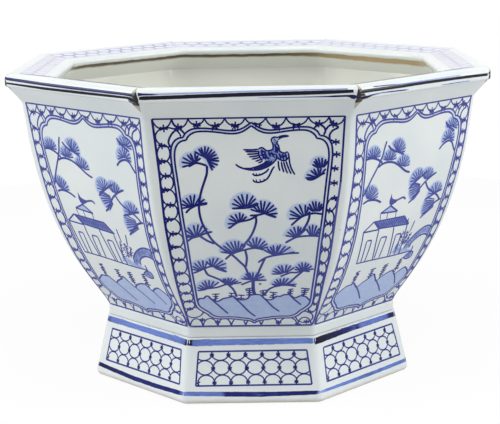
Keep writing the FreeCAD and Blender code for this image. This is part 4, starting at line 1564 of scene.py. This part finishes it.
class PLANTER_OT_pavilion_panels(PlanterOperator):
    """Paint the pavilion by the water on the four sides between"""

    bl_idname = "planter.pavilion_panels"
    bl_label = "Pavilion Panels"

    def draw_house(self, house, lantern, roof, shift):
        """The pavilion itself, moved along its wall."""
        line = self.line
        for corners in (lantern, roof, moved(GABLE, shift)):
            house.outline(corners, line * SHARE["roof"])
        top, low = np.array(roof[:2], float), np.array((roof[3], roof[2]), float)
        for t in ROOF_HATCHES:
            rafter = [ends[0] + (ends[1] - ends[0]) * t for ends in (top, low)]
            house.stroke(rafter, line * SHARE["roof_hatch"], HATCH_INK)
        house.each((moved(stroke, shift) for stroke in PAVILION_LINES), line * SHARE["house"])
        house.stroke((*moved(SHORE[:1], shift), *SHORE[1:]), line * SHARE["house"])
        house.patch(moved(RIDGE_BIRD, shift))
        house.stroke(moved(RIDGE_BIRD_TAIL, shift), line * SHARE["bird_tail"])

    def draw_surroundings(self, house):
        """Reeds, bridge and boat beside the pavilion."""
        line = self.line
        house.each(REEDS, line * SHARE["reed"])
        upper_left, upper_right, lower_right, lower_left = (np.array(corner) for corner in REED_PLOT)
        for row in REED_ROWS:
            left = upper_left * (1 - row) + lower_left * row
            right = upper_right * (1 - row) + lower_right * row
            for share in REED_SHARES:
                spot = left + (right - left) * share + HAND.normal(0, REED_DRIFT, 2)
                tilt = HAND.choice((-1, 1)) * HAND.uniform(*REED_LEAF_TILT)
                half = np.array((REED_LEAF_HALF, tilt))
                house.stroke((spot - half, spot + half), line * SHARE["leaf"], LEAF_INK)
        house.each((BRIDGE_OUTER, BRIDGE_INNER), line)
        outer, inner = (smooth_path(edge, 0.5) for edge in (BRIDGE_OUTER, BRIDGE_INNER))
        for t in BRIDGE_HATCHES:
            start, end = (path[round(t * (len(path) - 1))] for path in (outer, inner))
            hatch = [start + (end - start) * share for share in BRIDGE_HATCH_SPAN]
            house.stroke(hatch, line * SHARE["bridge_hatch"], HATCH_INK)
        house.stroke((*BOAT, BOAT[0]), line * SHARE["boat"])
        house.stroke(BOAT_MAST, line)

    def house(self, shift):
        """The pavilion with what stands beside it, and the washes of its panel."""
        house = Drawing(self.lift + FIGURE_LIFT)
        lantern, roof = (moved(part, shift) for part in (LANTERN_ROOF, MAIN_ROOF))
        self.draw_house(house, lantern, roof, shift)
        self.draw_surroundings(house)
        bridge = np.vstack([smooth_path(BRIDGE_OUTER), smooth_path(BRIDGE_INNER)[::-1]])
        fills = ((rock_fill(PAVILION_ROCKS), "rocks"), (lantern, "lantern"), (roof, "roof"),
                 (bridge, "bridge"), (GROUND, "ground"), (BOAT, "boat"))
        return house, wash_drawing(PAVILION_FANS, WASH["fans"], fills)

    def execute(self, context):
        line = self.line
        needles = self.needles(PAVILION_FANS, line * SHARE["needle"])
        trees = Drawing(self.lift + STEM_LIFT)
        trees.each(PAVILION_TWIGS, line * SHARE["twig"])
        trees.each(PAVILION_STEMS, line * SHARE["stem"], ends=0.9)
        trees.stroke(PAVILION_ROCKS, line)
        trees.each(PAVILION_SLOPES, line * SHARE["slope"])
        draw_tufts(trees, PAVILION_TUFTS, line, PAVILION_TUFT_INK)
        for side in PAVILION_SIDES:
            house, wash = self.house(HOUSE_SHIFT.get(SIDES[side], 0.0))
            self.lay_lines(side, pine_needles=needles, trees_and_rocks=trees, pavilion=house)
            wash.lay(f"pavilion_wash_{SIDES[side]}", WALL, side, self.washes())
        return {"FINISHED"}


class PLANTER_OT_foot_lattice(PlanterOperator):
    """Draw the ring lattice on every side of the foot"""

    bl_idname = "planter.foot_lattice"
    bl_label = "Foot Lattice"

    def execute(self, context):
        corners = [(u, FOOT.along_at(1, z)) for u, z in FOOT_FRAME]
        field = flat_field("foot_field", corners, [(0, 1, 2, 3)])
        points = []
        for row, (z, tall) in enumerate(FOOT_ROWS):
            along = FOOT.along_at(1, z)
            drift = FOOT_ROW_DRIFT * row + FOOT_FIRST_DRIFT
            low = along - FOOT_KNOT_DROP
            for across in FOOT_COLUMNS:
                points.append(ring((across + drift, along), FOOT_RING_HALF, tall))
                points.append(knot((across + drift - FOOT_RING_HALF, low), *FOOT_KNOT_REACH))
            points.append(knot((FOOT_COLUMNS[-1] + drift + FOOT_RING_HALF, low), *FOOT_KNOT_REACH))
        drawing = self.rings(points, self.line * SHARE["foot_ring"], RING_STEPS, field)
        bpy.data.objects.remove(field)
        drawing.outline(corners, self.line * SHARE["foot_frame"])
        for side, name in enumerate(SIDES):
            drawing.lay(f"foot_lattice_{name}", FOOT, side, self.cobalt(), lambda ink, pin: ink * FOOT_INK)
        return {"FINISHED"}


class PLANTER_OT_brush_bands(PlanterOperator):
    """Paint the broad bands of the foot and the lines around the rim's edge"""

    bl_idname = "planter.brush_bands"
    bl_label = "Brush Bands"

    # For each side: stations (share of half the side, height, half height, ink)
    FOOT_TOP = {
        "plain": (
            (-1, 50.2, 2.6, 0.95), (-0.96, 50.2, 2.8, 0.9), (-0.93, 50.1, 2.9, 0.44),
            (-0.84, 50.1, 3, 0.4), (-0.4, 50.7, 3.2, 0.34), (0.2, 50.8, 3.2, 0.38),
            (0.7, 50.9, 2.9, 0.34), (1, 50.8, 2.8, 0.42),
        ),
        "dark": (
            (-1, 50, 3.2, 1.05), (-0.8, 50.2, 3.1, 1), (-0.45, 50.6, 2.9, 0.86), (-0.05, 50.8, 2.6, 0.6),
            (0.02, 50.8, 2.9, 0.72), (0.1, 50.8, 2.7, 0.46), (0.6, 51, 2.7, 0.42), (0.78, 51, 2.8, 0.48),
            (0.86, 51, 2.8, 0.85), (1, 51, 2.8, 0.8),
        ),
        "light": (
            (-1, 50.4, 2.6, 0.72), (-0.9, 50.4, 2.7, 0.42), (-0.3, 50.7, 3, 0.36),
            (0.35, 50.7, 3.1, 0.38), (0.8, 50.4, 3, 0.4), (0.94, 50.2, 2.9, 0.5), (0.97, 50.2, 2.8, 0.9),
            (1, 50.2, 2.6, 0.95),
        ),
    }
    FOOT_BOTTOM = {
        "plain": (
            (-1, 9.4, 1.9, 0.4), (-0.46, 8.8, 2, 0.42), (-0.38, 8.6, 2.2, 0.74), (0.1, 8.2, 2.2, 0.66),
            (0.4, 8.3, 2, 0.7), (0.94, 9, 1.8, 0.76), (1, 9.2, 1.2, 0.2),
        ),
        "dark": (
            (-1, 10, 2, 0.9), (-0.6, 8.9, 2, 0.8), (-0.1, 7.9, 2.1, 0.68), (0.4, 8, 2.1, 0.7),
            (0.9, 9, 2, 0.66), (1, 9.3, 1.6, 0.3),
        ),
        "light": (
            (-1, 9.2, 1.1, 0.15), (-0.85, 9.1, 1.3, 0.36), (-0.3, 8.8, 1.6, 0.4), (0.1, 8.8, 1.7, 0.5),
            (0.5, 8.9, 1.7, 0.4), (1, 9.3, 1.6, 0.46),
        ),
    }
    TOP_OF_SIDE = ("plain", "dark", "plain", "light", "plain", "dark", "plain", "light")
    BOTTOM_OF_SIDE = ("plain", "light", "dark", "plain", "dark", "light", "plain", "dark")
    # Lines around the rim's edge
    EDGE_LINES = {
        "front": (
            ((-0.965, 263, 1.2, 1), (-0.93, 263.1, 1.6, 1.1), (-0.72, 263.4, 1.6, 1.15),
             (-0.41, 264, 1.6, 1.15), (0, 264.7, 1.65, 1.15), (0.49, 265.2, 1.65, 1.15),
             (0.7, 265.5, 1.6, 1.15), (0.95, 266, 1.3, 1.1)),
            ((-0.975, 265.9, 1.5, 0.8), (-0.94, 265.9, 0.9, 0.75), (-0.85, 265.7, 0.7, 0.7),
             (-0.78, 265.9, 0.5, 0.2), (0, 267, 0.6, 0.2), (0.5, 267.4, 0.5, 0.24),
             (0.9, 267.6, 0.5, 0.5)),
            ((0.1, 262.1, 0.25, 0.3), (0.49, 262.2, 0.4, 0.5), (0.72, 262.3, 0.55, 0.65),
             (0.78, 262.4, 0.8, 0.8), (0.9, 262.6, 0.8, 0.8), (0.93, 262, 1.6, 0.85),
             (0.96, 261.6, 1.9, 0.8), (0.98, 261.6, 1.2, 0.8)),
        ),
        "navy": (
            ((-0.99, 266.4, 1, 0.95), (-0.97, 265.9, 1.3, 0.8), (-0.32, 265.2, 1.4, 0.78),
             (0.1, 265.1, 1.4, 0.76), (0.85, 265.3, 1.2, 0.8), (0.97, 265.2, 1.4, 0.95)),
            ((-0.98, 262.3, 0.8, 0.98), (-0.33, 261.8, 1.2, 1.05), (0.22, 262.2, 1.25, 1.1),
             (0.9, 262.8, 1, 1.05), (0.98, 261.2, 1.9, 1)),
        ),
        "slant": (
            ((-0.98, 265.2, 1.5, 1.05), (-0.88, 265.3, 1.4, 1), (-0.53, 265, 1.5, 1),
             (-0.06, 264.9, 1.4, 1.05), (0.44, 264.5, 1.35, 1.1), (0.95, 263.7, 1.2, 1.1)),
            ((-0.8, 267.5, 0.45, 0.6), (-0.58, 267, 0.5, 0.68), (-0.42, 266.6, 0.45, 0.3),
             (0.5, 266.4, 0.4, 0.15)),
            ((-0.98, 260.4, 1.6, 1), (-0.9, 260.4, 1.5, 0.95), (-0.83, 261.6, 0.6, 0.7),
             (-0.7, 262.2, 0.4, 0.45), (-0.57, 262, 0.5, 0.68), (-0.36, 261.5, 0.55, 0.74),
             (-0.3, 261.4, 0.2, 0.2)),
            ((0.2, 261, 0.25, 0.3), (0.35, 260.9, 0.4, 0.55), (0.65, 260.8, 0.35, 0.3)),
            ((0.965, 264.6, 1.6, 0.95), (0.995, 265.6, 1.9, 0.95)),
        ),
    }
    EDGE_OF_SIDE = ("front", "slant", "navy", "front", "navy", "slant", "front", "navy")
    EDGE_LANES = 5
    # Share of a side that the bands may fill, so that neighbours stay clear of each other
    CLEAR_OF_CORNER = 0.998

    def stations(self, sheet, rows):
        """Stations in millimetres along one side, from shares of its half and heights."""
        placed = []
        for share, height, half, ink in rows:
            along = sheet.along_at(1, height)
            reach = float(sheet.at(np.array([along]))[0][0]) / MM * MITRE
            placed.append((share * reach * self.CLEAR_OF_CORNER, along, half, ink))
        return placed

    def execute(self, context):
        broad = band_material("cobalt_band", self.glaze, self.ink, BROAD_HAND)
        thin = band_material("cobalt_rim_line", self.glaze, self.ink, THIN_HAND)
        for side, name in enumerate(SIDES):
            foot = Drawing(self.lift)
            foot.brush_band(self.stations(FOOT, self.FOOT_TOP[self.TOP_OF_SIDE[side]]))
            foot.brush_band(self.stations(FOOT, self.FOOT_BOTTOM[self.BOTTOM_OF_SIDE[side]]))
            foot.lay(f"foot_bands_{name}", FOOT, side, broad)
            edge = Drawing(self.lift)
            for rows in self.EDGE_LINES[self.EDGE_OF_SIDE[side]]:
                edge.brush_band(self.stations(EDGE, rows), self.EDGE_LANES)
            edge.lay(f"rim_lines_{name}", EDGE, side, thin)
        return {"FINISHED"}


class PLANTER_OT_ledge_scales(PlanterOperator):
    """Draw the faint pattern of ovals on the ledge of the rim"""

    bl_idname = "planter.ledge_scales"
    bl_label = "Ledge Scales"
    # How strongly the pattern shows on each side
    STRENGTH = (0.5, 0.45, 0.4, 0.5, 0.8, 1.0, 0.55, 0.5)

    def execute(self, context):
        material = faint_material("ledge_violet", self.glaze, self.ink)
        outer, inner = (LEDGE.along_at(0, a) for a in LEDGE_BORDERS)
        half = [a * MITRE - LEDGE_CORNER_GAP for a in LEDGE_BORDERS]
        corners = [(-half[0], outer), (half[0], outer), (half[1], inner), (-half[1], inner)]
        deep = (inner - outer) / 2
        field = flat_field("ledge_field", corners, [(0, 1, 2, 3)])
        points = [ring(((i + row / 2) * LEDGE_SCALE_PITCH, outer + deep * (row + 0.5)),
                       LEDGE_SCALE_PITCH / 2, deep * LEDGE_SCALE_TALL)
                  for row in range(2) for i in LEDGE_SCALES]
        drawing = self.rings(points, LEDGE_SCALE_LINE, RING_STEPS, field, material)
        bpy.data.objects.remove(field)
        for a, b in ((0, 1), (3, 2), (0, 3), (1, 2)):
            drawing.stroke((corners[a], corners[b]), LEDGE_BORDER_LINE, ends=1.0)
        for side, name in enumerate(SIDES):
            strength = self.STRENGTH[side]
            drawing.lay(f"ledge_scales_{name}", LEDGE, side, material, lambda ink, pin: ink * strength)
        return {"FINISHED"}


class PLANTER_OT_stage(PlanterOperator):
    """Set up the floor, the lamps, the surroundings and the camera"""

    bl_idname = "planter.stage"
    bl_label = "Stage"
    # Drop of the floor below the foot, how far the camera sees it as plain white, its make, and the sensor
    FLOOR_GAP = 0.0003
    SHOWN_WHITE = 0.92
    FLOOR_STEPS = 96
    FLOOR_ROUGHNESS = 0.9
    FLOOR_SHINE = 0.1
    SENSOR = 36.0
    # Each lamp: where it stands, what it is aimed at, its size, and the setting that holds its power
    LAMPS = {
        "overhead_box": ((0, -0.15, 1.9), (0, 0, 0.1), (1.7, 1.7), "overhead"),
        "left_box": ((-1.5, -0.25, 0.8), (0, 0, 0.15), (0.9, 1.3), "side_box"),
        "right_box": ((1.5, -0.25, 0.8), (0, 0, 0.15), (0.9, 1.3), "side_box"),
        "front_box": ((0, -1.05, 1.75), (0, 0, 0.1), (1.2, 0.8), "front_box"),
    }

    def lamp(self, name, place, aim, size, power):
        light = bpy.data.lights.new(name, "AREA")
        light.shape = "RECTANGLE"
        light.size, light.size_y = size
        light.energy = power
        lamp = bpy.data.objects.new(name, light)
        lamp.location = place
        lamp.rotation_euler = (Vector(aim) - Vector(place)).to_track_quat("-Z", "Y").to_euler()
        bpy.context.scene.collection.objects.link(lamp)

    def floor(self):
        mesh = bpy.data.meshes.new("floor")
        work = bmesh.new()
        bmesh.ops.create_circle(work, cap_ends=True, radius=self.stage.floor, segments=self.FLOOR_STEPS)
        bmesh.ops.translate(work, vec=(0, 0, CAD_BOX[0].z - self.FLOOR_GAP), verts=work.verts)
        work.to_mesh(mesh)
        work.free()
        floor = bpy.data.objects.new("floor", mesh)
        bpy.context.scene.collection.objects.link(floor)
        material, wire, shader, texture = start_material("pale_floor")
        seen = wire.make("ShaderNodeLightPath")
        pale = noise(wire, texture, "floor").blend(self.stage.floor_low, self.stage.floor_high)
        plug(seen.blend(self.stage.floor_bounce, pale), shader, "Base Color")
        shader.inputs["Roughness"].default_value = self.FLOOR_ROUGHNESS
        shader.inputs["Specular IOR Level"].default_value = self.FLOOR_SHINE
        glow = wire.make("ShaderNodeEmission", {}, {"Color": (1, 1, 1, 1), "Strength": 1.0})
        matte = Wire(wire.tree, shader.outputs[0])
        mixed = wire.make("ShaderNodeMixShader", {}, {0: seen * self.SHOWN_WHITE, 1: matte, 2: glow})
        out = next(node for node in wire.tree.nodes if node.type == "OUTPUT_MATERIAL")
        wire.tree.links.new(mixed.socket, out.inputs["Surface"])
        mesh.materials.append(material)

    def surroundings(self, scene):
        world = bpy.data.worlds.new("studio")
        scene.world = world
        world.use_nodes = True
        world.node_tree.nodes.clear()
        wire = Wire(world.node_tree)
        path = wire.make("ShaderNodeLightPath")
        glossy = path.part("Is Glossy Ray")
        clear = path.part("Is Transmission Ray")
        soft = wire.make("ShaderNodeBackground", {}, {"Color": (1, 1, 1, 1), "Strength": self.stage.ambient})
        white = wire.make("ShaderNodeBackground", {}, {"Color": (1, 1, 1, 1), "Strength": 1.0})
        mixed = wire.make("ShaderNodeMixShader", {}, {0: path + glossy + clear, 1: soft, 2: white})
        out = world.node_tree.nodes.new("ShaderNodeOutputWorld")
        world.node_tree.links.new(mixed.socket, out.inputs["Surface"])

    def execute(self, context):
        scene = context.scene
        stage = self.stage
        self.floor()
        self.surroundings(scene)
        for name, (place, aim, size, setting) in self.LAMPS.items():
            self.lamp(name, place, aim, size, getattr(stage, setting))
        lens = bpy.data.cameras.new("camera")
        lens.lens = stage.lens
        lens.sensor_width = self.SENSOR
        camera = bpy.data.objects.new("camera", lens)
        camera.matrix_world = (
            Matrix.Translation((stage.offset, -stage.distance, stage.height))
            @ Matrix.Rotation(stage.heading, 4, "Z")
            @ Matrix.Rotation(math.radians(90) - stage.pitch, 4, "X")
            @ Matrix.Rotation(stage.roll, 4, "Z"))
        scene.collection.objects.link(camera)
        scene.camera = camera
        scene.view_settings.view_transform = "Standard"
        return {"FINISHED"}


class PLANTER_PT_build(bpy.types.Panel):
    """Lists the planter's steps"""

    bl_idname = "PLANTER_PT_build"
    bl_label = "Planter"
    bl_space_type = "VIEW_3D"
    bl_region_type = "UI"
    bl_category = "Planter"

    def draw(self, context):
        for step in STEPS:
            self.layout.operator(step.bl_idname)
        for group in (context.scene.planter_glaze, context.scene.planter_ink, context.scene.planter_stage):
            for key in group.__annotations__:
                self.layout.prop(group, key)


STEPS = (PLANTER_OT_glaze_body, PLANTER_OT_panel_frames, PLANTER_OT_link_borders, PLANTER_OT_pine_panels,
         PLANTER_OT_pavilion_panels, PLANTER_OT_foot_lattice, PLANTER_OT_brush_bands,
         PLANTER_OT_ledge_scales, PLANTER_OT_stage)
CLASSES = (PlanterGlaze, PlanterInk, PlanterStage, *STEPS, PLANTER_PT_build)


def register():
    for one in CLASSES:
        bpy.utils.register_class(one)
    bpy.types.Scene.planter_glaze = PointerProperty(type=PlanterGlaze)
    bpy.types.Scene.planter_ink = PointerProperty(type=PlanterInk)
    bpy.types.Scene.planter_stage = PointerProperty(type=PlanterStage)


def unregister():
    del bpy.types.Scene.planter_stage
    del bpy.types.Scene.planter_ink
    del bpy.types.Scene.planter_glaze
    for one in reversed(CLASSES):
        bpy.utils.unregister_class(one)


def main():
    register()
    bpy.ops.planter.glaze_body()
    bpy.ops.planter.panel_frames()
    bpy.ops.planter.link_borders()
    bpy.ops.planter.pine_panels()
    bpy.ops.planter.pavilion_panels()
    bpy.ops.planter.foot_lattice()
    bpy.ops.planter.brush_bands()
    bpy.ops.planter.ledge_scales()
    bpy.ops.planter.stage()


if __name__ == "__main__":
    main()
